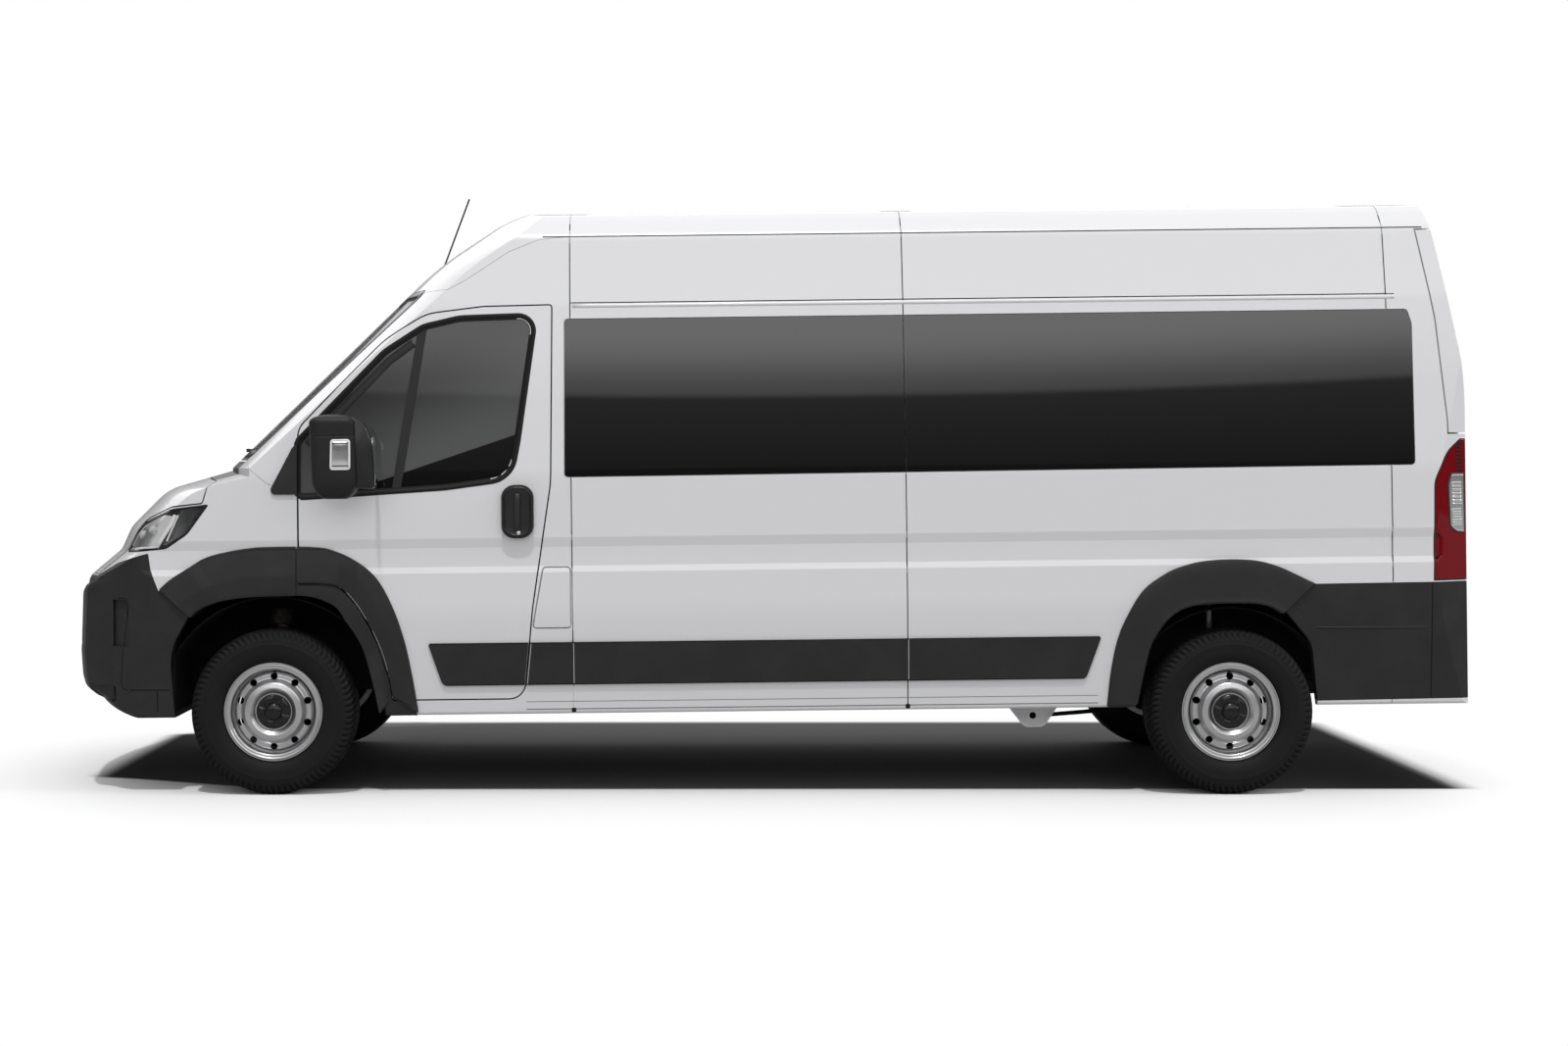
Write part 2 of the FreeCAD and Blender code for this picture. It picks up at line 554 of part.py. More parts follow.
# ---- fixed body panels ------------------------------------------------------------------------
def side_panel():
    """Left body side from the door post to the rear pillar, with arch and window apertures."""
    front, _, back = SIDE_SEAM_Y
    panel = SHELL.common(block(300, FAR, front + SEAM, back - SEAM, 0, ROOF_SEAM_Z - SEAM))
    panel = panel.cut(side_zone(REAR_ARCH))
    panel = panel.cut(rear_bumper_zone())
    gutter = block(0, FAR, front, back, GUTTER_Z, GUTTER_Z + 2 * SEAM)
    panel = panel.cut(SKIN_LAYER.common(gutter))
    return glazed(panel).cut(middle_seam())


def middle_seam():
    """The upright gap between the two lengths of the body side and roof."""
    return block(-FAR, FAR, SIDE_SEAM_Y[1] - SEAM, SIDE_SEAM_Y[1] + SEAM, 0, FAR)


def glazed(panel):
    """Cut the bed of the flush side glass and the openings behind it."""
    panel = panel.cut(SKIN_LAYER.common(side_zone(SIDE_GLASS, -3.0)))
    for y0, y1 in SIDE_OPENINGS:
        opening = [(y0, OPENING_LOW, 60), (y1, OPENING_LOW, 60), (y1, OPENING_HIGH, 60),
                   (y0, OPENING_HIGH, 60)]
        panel = panel.cut(side_zone(opening, 0, 300.0))
    return panel


def rear_bumper_zone(inset=0.0):
    return across_zone(REAR_BUMPER, inset)


def roof_panel():
    front, _, back = SIDE_SEAM_Y
    roof = SHELL.common(block(-FAR, FAR, front + SEAM, back - SEAM, ROOF_SEAM_Z + SEAM, FAR))
    points = [V(side * RACK_X, y, RACK_Z) for side in (-1, 1) for y in RACK_POINTS]
    threads = [Part.makeCylinder(RACK_BORE, RACK_DEPTH, p - V(0, 0, RACK_DEPTH)) for p in points]
    seats = [Part.makeCylinder(3 * RACK_BORE, FAR, p) for p in points]
    return cut_all(roof, threads + seats + [middle_seam()])


def cab_roof():
    roof = SHELL.common(across_zone(CAB_ROOF_EDGE, SEAM))
    return roof.cut(SKIN_LAYER.common(screen_zone())).cut(screen_zone(SCREEN_LEDGE))


def front_wings():
    wings = SHELL.common(across_zone(WING, SEAM))
    tools = [bonnet_zone(), lamp_zone(), bumper_zone(), across_zone(FRONT_ARCH),
             block(-SCUTTLE_HALF, SCUTTLE_HALF, -2600, -2000, 1290, 1600), screen_zone(-2.0)]
    return cut_all(wings, tools)


def bumper_zone(inset=0.0):
    return across_zone(BUMPER_TOP, inset)


def cab_frame():
    """Pillars, sills and rails round the cab doors and the windscreen."""
    frame = SHELL.common(block(-FAR, FAR, -FAR, SIDE_SEAM_Y[0] - SEAM, 0, FAR))
    door = side_zone(DOOR)
    tools = [across_zone(CAB_ROOF_EDGE), across_zone(WING), bonnet_zone(), lamp_zone(), bumper_zone(),
             across_zone(FRONT_ARCH), door, mirrored(door), scuttle_zone(),
             SKIN_LAYER.common(screen_zone()), screen_zone(SCREEN_LEDGE),
             SKIN_LAYER.common(side_zone(FUEL_FLAP, -DOOR_GAP, 600.0))]
    frame = cut_all(frame, tools)
    frame = frame.cut(SKIN_LAYER.common(side_zone(SIDE_GLASS, -3.0)))
    frame = frame.cut(mirrored(SKIN_LAYER.common(side_zone(SIDE_GLASS, -3.0))))
    return frame


def rear_frame():
    """Corner pillars, header and sill round the rear doors."""
    frame = SHELL.common(block(-FAR, FAR, SIDE_SEAM_Y[2] + SEAM, FAR, 0, FAR))
    recess = SKIN_LAYER.common(side_zone(SIDE_GLASS, -3.0))
    tools = [rear_door_zone(1), rear_door_zone(-1), tail_lamp_zone(), rear_bumper_zone(),
             across_zone(REAR_ARCH), recess,
             mirrored(recess),
             block(12 - TAIL_LAMP_X, TAIL_LAMP_X - 12, TAIL_Y - 188, FAR, 0, REAR_DOOR_LOW)]
    return cut_all(frame, tools)


def sliding_door():
    """Right-hand loading door; it moves out and then back, so it has no joint of its own."""
    opening = [(SLIDING_DOOR[0][0] + 90, OPENING_LOW, 60), (SLIDING_DOOR[1][0] - 90, OPENING_LOW, 60),
               (SLIDING_DOOR[1][0] - 90, OPENING_HIGH, 60), (SLIDING_DOOR[0][0] + 90, OPENING_HIGH, 60)]
    bed = [(SLIDING_DOOR[0][0] + 30, SIDE_GLASS[0][1] - 3, 20),
           (SLIDING_DOOR[1][0] - 30, SIDE_GLASS[0][1] - 3, 20),
           (SLIDING_DOOR[1][0] - 30, SIDE_GLASS[2][1] + 3, 20),
           (SLIDING_DOOR[0][0] + 30, SIDE_GLASS[2][1] + 3, 20)]
    door = hollow_panel(sliding_zone)
    door = door.cut(SKIN_LAYER.common(mirrored(side_zone(bed, 0, 600.0))))
    door = door.cut(mirrored(side_zone(opening, 0, 600.0)))
    glass = FLUSH_GLASS.common(mirrored(side_zone(bed, 3.0, 600.0)))
    return door, glass


def side_windows(sliding_glass):
    left = FLUSH_GLASS.common(side_zone(SIDE_GLASS, 0, 600.0))
    right = mirrored(left).cut(block(-FAR, 0, -FAR, SLIDING_DOOR[1][0] + 30, 0, FAR))
    left, right = left.cut(middle_seam()), right.cut(middle_seam())
    return Part.makeCompound([left, right, sliding_glass])


def windscreen():
    return FLUSH_GLASS.common(screen_zone(3.0))


def scuttle():
    return SHELL.common(scuttle_zone(SEAM)).cut(screen_zone(-2.0))


def front_bumper():
    bumper = SHELL.common(bumper_zone(SEAM)).cut(across_zone(FRONT_ARCH))
    bumper = cut_all(bumper, [air_intake(*row) for row in GRILLE_OPENINGS])
    dents = OUTER.cut(RECESS_FLOOR)
    bumper = bumper.cut(dents.common(both_sides(side_zone(FOG_RECESS, 0, 600.0))))
    return bumper.cut(dents.common(both_sides(side_zone(LOWER_SCOOP, 0, 600.0))))


def air_intake(half, low, high, radius, inset=0.0):
    """An opening through the front of the bumper, wider at its top."""
    corners = [(-half, low, radius), (half, low, radius), (half + 30, high, radius),
               (-half - 30, high, radius)]
    return prism(corners, "front", -FAR, -2700, inset)


def grille():
    """Slats across each opening of the bumper, tied by upright ribs."""
    layer = envelope(GRILLE_DEPTH).cut(envelope(GRILLE_DEPTH + 20))
    pieces = []
    for half, low, high, radius in GRILLE_OPENINGS:
        field = layer.common(air_intake(half, low, high, radius, 1.0))
        bars = [block(-FAR, FAR, -FAR, 0, low + k * SLAT_PITCH, low + k * SLAT_PITCH + SLAT_HEIGHT)
                for k in range(int((high - low) / SLAT_PITCH) + 1)]
        ribs = [block(x - 6, x + 6, -FAR, 0, 0, FAR) for x in GRILLE_RIBS]
        pieces.append(field.common(joined(bars + ribs)))
    access = Part.makeCylinder(TOW_EYE_ACCESS, FAR, V(TOW_EYE[0], -FAR, TOW_EYE[1]), V(0, 1, 0))
    rim = Part.makeCylinder(TOW_EYE_ACCESS + 6, FAR, V(TOW_EYE[0], -FAR, TOW_EYE[1]), V(0, 1, 0))
    rim = rim.common(layer).common(air_intake(*GRILLE_OPENINGS[1], 1.0))
    return Part.makeCompound([pieces[0], pieces[1].fuse(rim).cut(access)])


def rear_bumper():
    """Corner pieces under the tail lamps and the step between them."""
    corners = SHELL.common(rear_bumper_zone(SEAM)).cut(across_zone(REAR_ARCH))
    corners = corners.cut(block(12 - TAIL_LAMP_X, TAIL_LAMP_X - 12, TAIL_Y - 188, FAR,
                                REAR_DOOR_LOW - DOOR_GAP, FAR))
    step = block(60 - TAIL_LAMP_X, TAIL_LAMP_X - 60, TAIL_Y - 108, STEP_BACK_Y, REAR_DOOR_LOW - 70,
                 REAR_DOOR_LOW - 2 * DOOR_GAP)
    return corners.fuse(step)


def lamp_pair(zone):
    """A pair of lamps: the deep tray of each housing, and the lens that closes it."""
    well = OUTER.cut(LAMP_FLOOR).common(zone(LAMP_GAP + LAMP_RIM))
    housing = SHELL.common(zone(LAMP_GAP)).cut(well)
    lens = OUTER.cut(UNDER_LENS).common(zone(LAMP_GAP + LAMP_RIM + 0.5))
    return housing, lens


def arch_trim_ring(outer, opening):
    return side_zone(outer, 0, 600.0).cut(side_zone(opening, 0, 500.0))


def body_trims():
    """Wheel-arch trims, side mouldings and the dark corners ahead of the cab doors."""
    door = side_zone(DOOR, 0, 500.0)
    front = TRIM_LAYER.common(arch_trim_ring(FRONT_ARCH_TRIM, FRONT_ARCH))
    front = front.cut(bumper_zone(-SEAM)).cut(door)
    rear = TRIM_LAYER.common(arch_trim_ring(REAR_ARCH_TRIM, REAR_ARCH)).cut(rear_bumper_zone(-SEAM))
    strip = TRIM_LAYER.common(side_zone(MOULDING, 0, 600.0)).cut(door)
    strip = strip.cut(middle_seam())
    corner = TRIM_LAYER.common(side_zone(MIRROR_CORNER, 0, 600.0)).cut(door)
    return both_sides(Part.makeCompound([front, rear, strip, corner]))


# ---- opening panels ---------------------------------------------------------------------------
def cab_door():
    return hollow_panel(lambda inset: side_zone(DOOR, inset, 300.0),
                        [(DOOR_WINDOW, 300.0, FAR)], WINDOW_LEDGE)


def cab_door_glass():
    return SET_GLASS.common(side_zone(DOOR_WINDOW, 3.0, 600.0))


def cab_door_trim():
    """Arch trim, moulding and handle carried by the door."""
    door = side_zone(DOOR, DOOR_GAP + 2.0, 600.0)
    arch = TRIM_LAYER.common(arch_trim_ring(FRONT_ARCH_TRIM, FRONT_ARCH)).common(door)
    strip = TRIM_LAYER.common(side_zone(MOULDING, 0, 600.0)).common(door)
    handle = envelope(-HANDLE_PROUD).cut(OUTER).common(side_zone(HANDLE, 0, 600.0))
    bar = FLUSH_GLASS.common(side_zone(DOOR_WINDOW, 1.0, 600.0)).common(side_zone(WINDOW_BAR, 0, 600.0))
    return Part.makeCompound([arch, strip, handle, bar])


def mirror_head():
    """Door mirror: two arms, a rounded housing parted in two and a well for its pane."""
    housing = prism(MIRROR_SIDE, "side", MIRROR_IN, MIRROR_OUT)
    housing = housing.common(prism(MIRROR_FACE, "front", -1900, -1500))
    housing = housing.common(prism(MIRROR_PLAN, "plan", 1200, 1600))
    well = prism(drawn_in(MIRROR_FACE, MIRROR_WELL), "front", -1600, -1500)
    housing = housing.cut(well)
    groove = block(MIRROR_IN, MIRROR_OUT, -1900, -1640, MIRROR_SPLIT_Z - 2, MIRROR_SPLIT_Z + 2)
    core = prism(drawn_in(MIRROR_SIDE, 4), "side", MIRROR_IN + 22, MIRROR_OUT - 16)
    housing = housing.cut(groove.cut(core))
    lamp = prism(MIRROR_LAMP, "side", MIRROR_OUT - 18, MIRROR_OUT + 2)
    housing = housing.cut(lamp)
    arms = [block(BODY_HALF_WIDTH - 15, MIRROR_IN + 60, -1835, -1775, low, high).cut(OUTER) for low, high in MIRROR_ARM]
    return joined([housing] + arms)


def rear_door(side):
    window = [(side * x, z, r) for x, z, r in REAR_WINDOW]
    return hollow_panel(lambda inset: rear_door_zone(side, inset), [(window, TAIL_Y - 488, FAR)],
                        WINDOW_LEDGE, plane="front")


def rear_door_glass(side):
    window = [(side * x, z, r) for x, z, r in REAR_WINDOW]
    return SET_GLASS.common(prism(window, "front", TAIL_Y - 488, FAR, 3.0))


def bonnet():
    shell = OUTER.cut(envelope(BONNET_THICK))
    return shell.common(bonnet_zone(DOOR_GAP))


def fuel_flap():
    return OUTER.cut(envelope(FLAP_THICK)).common(side_zone(FUEL_FLAP, 0, 600.0))


# ---- floor and underbody ----------------------------------------------------------------------
def floor_pan():
    """Floor with wells for the rear wheels, and the chassis rails under it."""
    low = FLOOR_Z - FLOOR_THICK
    half = BODY_HALF_WIDTH - 115
    cabin = block(-half, half, CAB_FLOOR_Y, TAIL_Y - 108, low, FLOOR_Z)
    for side in (1, -1):
        x0, x1 = sorted((side * WHEEL_BOX_X, side * BODY_HALF_WIDTH))
        cabin = cabin.cut(block(x0, x1, REAR_AXLE_Y - 460, REAR_AXLE_Y + 460, 0, FAR))
    cab = block(-FOOTWELL_HALF, FOOTWELL_HALF, FIREWALL_Y, CAB_FLOOR_Y, low, FLOOR_Z)
    rails = [block(x - 40, x + 40, RAIL_FRONT_Y, TAIL_Y - 128, RAIL_Z, low) for x in (-RAIL_X, RAIL_X)]
    socket = V(TOW_EYE[0], RAIL_FRONT_Y - TOW_EYE_LENGTH, TOW_EYE[1])
    boss = Part.makeCylinder(20, TOW_EYE_LENGTH, socket, V(0, 1, 0))
    plates = [block(x - TOWBAR_PLATE / 2, x + TOWBAR_PLATE / 2, TAIL_Y - 348, TAIL_Y - 148,
                    TOWBAR_Z - 30, RAIL_Z)
              for x in (-RAIL_X, RAIL_X)]
    bores = [cylinder_x(-FAR, FAR, TOWBAR_BORE, y, TOWBAR_Z) for y in TOWBAR_Y]
    floor = joined([cabin, cab, boss] + rails + [cut_all(plate, bores) for plate in plates])
    return floor.cut(Part.makeCylinder(TOW_EYE_BORE, TOW_EYE_LENGTH, socket, V(0, 1, 0)))


def firewall():
    """Wall between the engine and the cab, standing on the floor and widening above the wheel arches."""
    back = FIREWALL_Y + FLOOR_THICK
    wall = block(-FOOTWELL_HALF, FOOTWELL_HALF, FIREWALL_Y, back, FLOOR_Z, FIREWALL_TOP)
    shelf = block(-SCREEN_LOW_X, SCREEN_LOW_X, FIREWALL_Y, back, FIREWALL_SHELF, FIREWALL_TOP)
    return joined([wall, shelf.common(INNER)])


def wheel_liners():
    """Liners in the four arches, each a half drum closed on its inboard side."""
    pieces = []
    for y, z, radius, inboard, low in LINERS:
        cup = cylinder_x(inboard, BODY_HALF_WIDTH, radius, y, z)
        cup = cup.cut(cylinder_x(inboard + LINER_THICK, BODY_HALF_WIDTH, radius - LINER_THICK, y, z))
        pieces.append(cup.common(block(0, FAR, -FAR, FAR, low, FAR)).common(INNER))
    return both_sides(Part.makeCompound(pieces))


def engine_block():
    return block(-330, 330, -2700, -2250, 480, 1050)


def front_subframe():
    """Cross member and the lower arms that reach out to the knuckles."""
    beam = block(-380, 380, FRONT_AXLE_Y - 69, FRONT_AXLE_Y + 71, 250, 310)
    joint = V(KINGPIN_LOW[0] - STRUT_RADIUS - ARM_RADIUS - 12, FRONT_AXLE_Y, 215)
    arms = tube([V(360, FRONT_AXLE_Y + 60, 285), joint, V(360, FRONT_AXLE_Y - 60, 285)], ARM_RADIUS)
    return joined([beam, arms, mirrored(arms)])


def exhaust():
    silencer = Part.makeCylinder(95, 620, V(-350, 700, 350), V(0, 1, 0))
    pipe = tube([V(-250, -2200, 380), V(-350, -1300, 350), V(-350, 705, 350)], 28)
    tail = tube([V(-350, 1310, 350), V(-600, 1450, 345), V(-650, 1520, 345)], 26)
    return joined([silencer, pipe, tail])


def fuel_tank():
    outline = [(100, -700, 60), (470, -700, 60), (470, 300, 60), (100, 300, 60)]
    return prism(outline, "plan", 290, 500)


def rear_axle():
    reach = TRACK_REAR / 2 - 105
    beam = cylinder_x(-reach, reach, 38, REAR_AXLE_Y, TYRE_RADIUS)
    lift = (REAR_AXLE_Y - FRONT_AXLE_Y) * math.sin(math.radians(RAKE_DEG))
    low, high = LEAF_X
    pad = block(low, high, REAR_AXLE_Y - 60, REAR_AXLE_Y + 60, TYRE_RADIUS, LEAF_Z + lift - LEAF_GAP)
    return joined([beam, pad, mirrored(pad)])


def leaf_springs():
    """Long leaves under the rails, with the hanger that shows below the sill."""
    low, high = LEAF_X
    front = REAR_AXLE_Y - 797
    leaf = block(low, high, front, TAIL_Y - 228, LEAF_Z, LEAF_Z + 10)
    plate = [(front - 102, 400, 0), (front + 98, 400, 0), (front + 18, 250, 20), (front - 17, 250, 20)]
    hanger = prism(plate, "side", high + 20, high + 42)
    hanger = hanger.cut(cylinder_x(high, high + 60, HANGER_BORE, front, 290))
    return both_sides(Part.makeCompound([leaf, hanger]))


def spare_wheel():
    ring = Part.makeCylinder(SPARE_RADIUS, 190, V(*SPARE_CENTRE))
    return ring.cut(Part.makeCylinder(150, 200, V(*SPARE_CENTRE)))


# ---- running gear -----------------------------------------------------------------------------
def tyre():
    """One tyre about the x axis, centred on its own middle."""
    half = TYRE_WIDTH / 2
    bead = RIM_WIDTH / 2
    wall = TYRE_RADIUS - RIM_BEAD_RADIUS
    belly, shoulder = RIM_BEAD_RADIUS + BELLY * wall, RIM_BEAD_RADIUS + SHOULDER * wall
    corners = [
        (4 - bead, RIM_BEAD_RADIUS + 0.5, 0), (-bead, RIM_BEAD_RADIUS + 23.5, 8), (-half, belly, 40),
        (4 - half, shoulder, 30), (16 - half, TYRE_RADIUS, 22), (half - 16, TYRE_RADIUS, 22),
        (half - 4, shoulder, 30), (half, belly, 40), (bead, RIM_BEAD_RADIUS + 23.5, 8),
        (bead - 4, RIM_BEAD_RADIUS + 0.5, 0),
    ]
    face = rounded_face(corners, "front", 0.0)
    return face.revolve(V(0, 0, 0), V(1, 0, 0), 360)


def steel_wheel():
    """Pressed steel wheel for the left side: stepped rim, bulged disc and a ring of vents."""
    face = rounded_face(WHEEL_SECTION, "front", 0.0)
    wheel = face.revolve(V(0, 0, 0), V(1, 0, 0), 360)
    disc = rounded_face(DISC_SECTION, "front", 0.0).revolve(V(0, 0, 0), V(1, 0, 0), 360)
    for k in range(VENTS):
        angle = 2 * math.pi * k / VENTS
        y, z = VENT_CIRCLE * math.sin(angle), VENT_CIRCLE * math.cos(angle)
        disc = disc.cut(cylinder_x(20, 120, VENT_RADIUS, y, z))
    return wheel.fuse(disc)


def wheel_set(side, axle_y, half_track):
    """Wheel and tyre of one corner, placed on its axle."""
    pieces = []
    for shape in (steel_wheel(), tyre()):
        placed = shape if side > 0 else mirrored(shape)
        placed = placed.copy()
        placed.translate(V(side * half_track, axle_y, TYRE_RADIUS))
        pieces.append(placed)
    return pieces


def knuckle():
    """Left steering knuckle with its stub, and the strut along the steering axis."""
    low = V(*KINGPIN_LOW)
    way = (V(*KINGPIN_HIGH) - low).normalize()
    inboard = KINGPIN_LOW[0] - STUB_RADIUS
    stub = cylinder_x(inboard, TRACK_FRONT / 2 + DISC_FACE, STUB_RADIUS, FRONT_AXLE_Y, TYRE_RADIUS)
    strut = Part.makeCylinder(STRUT_RADIUS, STRUT_LENGTH, low, way)
    spring = Part.makeCylinder(SPRING_RADIUS, STRUT_LENGTH - SPRING_LOW, low + way * SPRING_LOW, way)
    return joined([stub, strut, spring])


# ---- inside -----------------------------------------------------------------------------------
def seat(x0, x1, y):
    """Plain cushion, back, headrest and plinth of one seat facing forwards."""
    top = FLOOR_Z + CUSHION_Z + CUSHION_THICK
    base = block(x0, x1, y - SEAT_DEPTH, y, FLOOR_Z + CUSHION_Z, top)
    back = block(x0, x1, y - 60, y + 60, top, FLOOR_Z + SHOULDER_Z)
    rest = block(x0 + 90, x1 - 90, y - 30, y + 50, FLOOR_Z + SHOULDER_Z, FLOOR_Z + HEADREST_Z)
    low, high = max(x0 + 60, -PLINTH_REACH), min(x1 - 60, PLINTH_REACH)
    plinth = block(low, high, y - SEAT_DEPTH + 100, y - 80, FLOOR_Z, FLOOR_Z + CUSHION_Z)
    return joined([base, back, rest, plinth])


def cab_seats():
    return Part.makeCompound([seat(x0, x1, CAB_SEAT_Y) for x0, x1 in CAB_SEATS])


def cabin_seats():
    return Part.makeCompound([seat(x0, x1, y) for y, places in SEAT_ROWS for x0, x1 in places])


def dashboard():
    return prism(DASHBOARD, "side", -DASHBOARD_HALF, DASHBOARD_HALF)


def steering_wheel():
    centre = V(*WHEEL_CENTRE)
    axis = steering_axis()
    rim = Part.makeTorus(STEERING_RADIUS, 16, centre, axis)
    hub = Part.makeCylinder(70, 40, centre - axis * 20, axis)
    across = V(1, 0, 0)
    down = axis.cross(across)
    spokes = [Part.makeCylinder(13, STEERING_RADIUS, centre, way) for way in (across, across * -1, down)]
    return joined([rim, hub] + spokes)


def steering_axis():
    return V(0, math.sin(math.radians(STEERING_TILT)), math.cos(math.radians(STEERING_TILT)))


def antenna():
    """Straight rod of twelve flats, leaning back from the front of the roof."""
    foot = V(0, ANTENNA_Y, ANTENNA_Z)
    ring = [V(ANTENNA_RADIUS * math.cos(math.radians(30 * k)), ANTENNA_RADIUS * math.sin(math.radians(30 * k)), 0)
            for k in range(13)]
    rod = Part.Face(Part.makePolygon(ring)).extrude(V(0, 0, ANTENNA_LENGTH))
    rod.rotate(V(0, 0, 0), V(1, 0, 0), -ANTENNA_LEAN)
    rod.translate(foot)
    return rod


def wipers():
    """Two blades lying on the foot of the windscreen, bowed as it is."""
    middle = V(0, NOSE_Y + SCREEN_PLAN_RADIUS, 0)
    radius = middle.y - WIPER_Y
    section = rounded_face([(-radius - 16, 1444, 0), (-radius - 6, 1444, 0), (-radius - 6, 1458, 0),
                            (-radius - 16, 1458, 0)], "side", 0.0)
    section.translate(middle)
    pieces = []
    for start in (-13.5, 1.5):
        blade = section.copy()
        blade.rotate(middle, V(0, 0, 1), start)
        pieces.append(blade.revolve(middle, V(0, 0, 1), 12.0))
    return Part.makeCompound(pieces)


# ---- write every node -------------------------------------------------------------------------
def main():
    os.makedirs("parts", exist_ok=True)
    left_side = side_panel()
    right_side = mirrored(left_side).cut(sliding_zone())
    right_side = right_side.cut(SKIN_LAYER.common(mirrored(side_zone(SLIDING_RAIL, 0, 600.0))))
    slider, sliding_glass = sliding_door()
    headlamps, headlamp_lenses = lamp_pair(lamp_zone)
    tail_lamps, tail_lamp_lenses = lamp_pair(tail_lamp_zone)
    body = {
        "left_side_panel": left_side,
        "right_side_panel": right_side,
        "roof_panel": roof_panel(),
        "cab_roof": cab_roof(),
        "cab_frame": cab_frame(),
        "rear_frame": rear_frame(),
        "front_wings": front_wings(),
        "floor_pan": floor_pan(),
        "firewall": firewall(),
        "scuttle_panel": scuttle(),
        "windscreen": windscreen(),
        "wipers": wipers(),
        "side_windows": side_windows(sliding_glass),
        "sliding_door": slider,
        "front_bumper": front_bumper(),
        "grille": grille(),
        "rear_bumper": rear_bumper(),
        "headlamps": headlamps,
        "headlamp_lenses": headlamp_lenses,
        "tail_lamps": tail_lamps,
        "tail_lamp_lenses": tail_lamp_lenses,
        "body_trims": body_trims(),
        "antenna": antenna(),
        "engine_block": engine_block(),
        "front_subframe": front_subframe(),
        "exhaust": exhaust(),
        "fuel_tank": fuel_tank(),
        "leaf_springs": leaf_springs(),
        "spare_wheel": spare_wheel(),
        "wheel_liners": wheel_liners(),
        "dashboard": dashboard(),
        "cab_seats": cab_seats(),
        "cabin_seats": cabin_seats(),
        "steering_wheel": steering_wheel(),
        "driver_door": cab_door(),
        "driver_door_glass": cab_door_glass(),
        "driver_door_trim": cab_door_trim(),
        "left_mirror": mirror_head(),
        "passenger_door": mirrored(cab_door()),
        "passenger_door_glass": mirrored(cab_door_glass()),
        "passenger_door_trim": mirrored(cab_door_trim()),
        "right_mirror": mirrored(mirror_head()),
        "left_rear_door": rear_door(1),
        "left_rear_glass": rear_door_glass(1),
        "right_rear_door": rear_door(-1),
        "right_rear_glass": rear_door_glass(-1),
        "bonnet": bonnet(),
        "fuel_flap": fuel_flap(),
    }
    for name, shape in body.items():
        export(name, raked(shape))
    export("rear_axle", rear_axle())
    export("left_knuckle", knuckle())
    export("right_knuckle", mirrored(knuckle()))
    for name, side, axle_y, track in WHEEL_CORNERS:
        wheel, rubber = wheel_set(side, axle_y, track / 2)
        export(name + "_wheel", wheel)
        export(name + "_tyre", rubber)


main()
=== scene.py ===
"""Finish and detail of a long-wheelbase passenger minibus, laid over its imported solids.

Metres. +X is the vehicle's left, +Y its rear, +Z up, with the origin on the ground under its middle.
"""
import json
import math

import bpy
import numpy as np
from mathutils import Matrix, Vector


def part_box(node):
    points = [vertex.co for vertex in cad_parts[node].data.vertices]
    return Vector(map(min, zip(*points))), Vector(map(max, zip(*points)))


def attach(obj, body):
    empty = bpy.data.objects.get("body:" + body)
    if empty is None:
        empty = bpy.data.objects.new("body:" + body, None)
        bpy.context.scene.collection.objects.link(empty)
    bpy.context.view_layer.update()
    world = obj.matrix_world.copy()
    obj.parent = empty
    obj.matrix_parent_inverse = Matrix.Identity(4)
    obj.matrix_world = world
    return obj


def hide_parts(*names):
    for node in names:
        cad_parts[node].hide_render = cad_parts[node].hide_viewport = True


bl_info = {
    "name": "Minibus finish",
    "version": (1, 0, 0),
    "blender": (4, 5, 0),
    "location": "View3D > Sidebar > Minibus",
    "description": "Paint, glass, lamps, tyres, seats and trim for a packed minibus",
    "category": "Object",
}

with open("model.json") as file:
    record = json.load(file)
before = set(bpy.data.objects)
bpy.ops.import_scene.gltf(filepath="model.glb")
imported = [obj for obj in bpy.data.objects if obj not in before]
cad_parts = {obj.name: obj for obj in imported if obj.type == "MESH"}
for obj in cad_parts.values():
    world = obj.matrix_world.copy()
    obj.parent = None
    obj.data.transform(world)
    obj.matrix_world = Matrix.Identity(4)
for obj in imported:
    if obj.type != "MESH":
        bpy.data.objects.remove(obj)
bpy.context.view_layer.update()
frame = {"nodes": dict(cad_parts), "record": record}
NODES = frame["nodes"]
SLOT_OF = {row["node"]: row["material_slot"] for row in frame["record"]["subparts"]}

RAKE = math.radians(0.65)
PIVOT = np.array([0.0, -2.051, 0.348])
# Ways to look at the skin: the axis, and the sign of the side that is seen
LEFT, INSIDE, FRONT, REAR, ABOVE = (0, 1), (0, -1), (1, -1), (1, 1), (2, 1)


# ---- places ----
def tipped(points, angle):
    """Points turned about X, as a right-handed angle."""
    x, y, z = np.moveaxis(np.asarray(points, float), -1, 0)
    c, s = math.cos(angle), math.sin(angle)
    return np.stack([x, y * c - z * s, y * s + z * c], -1)


def raked(points):
    """Body-frame points tipped nose-down about the front axle: y and z turn by the rake."""
    return tipped(np.asarray(points, float) - PIVOT, RAKE) + PIVOT


def circle(count):
    """Angles at equal steps round a circle."""
    return np.linspace(0, 2 * np.pi, count, endpoint=False)


def power(value, exponent):
    """A power of the size that keeps the sign."""
    return np.sign(value) * np.abs(value) ** exponent


def inside(u, steepness):
    """1 well within the range 0 to 1, falling straight to 0 at both its ends."""
    return np.clip(np.minimum(u, 1 - u) * steepness, 0, 1)


def grey(tone):
    """A colour of one tone."""
    return (tone, tone, tone)


def joined(*coordinates):
    """Points from coordinates that are stretched to one shape."""
    return np.stack(np.broadcast_arrays(*coordinates), -1)


def two_faced(front, back):
    """The closed section of a sheet: its front rows, then its back ones the other way round."""
    return np.concatenate([front, back[:, ::-1]], 1)


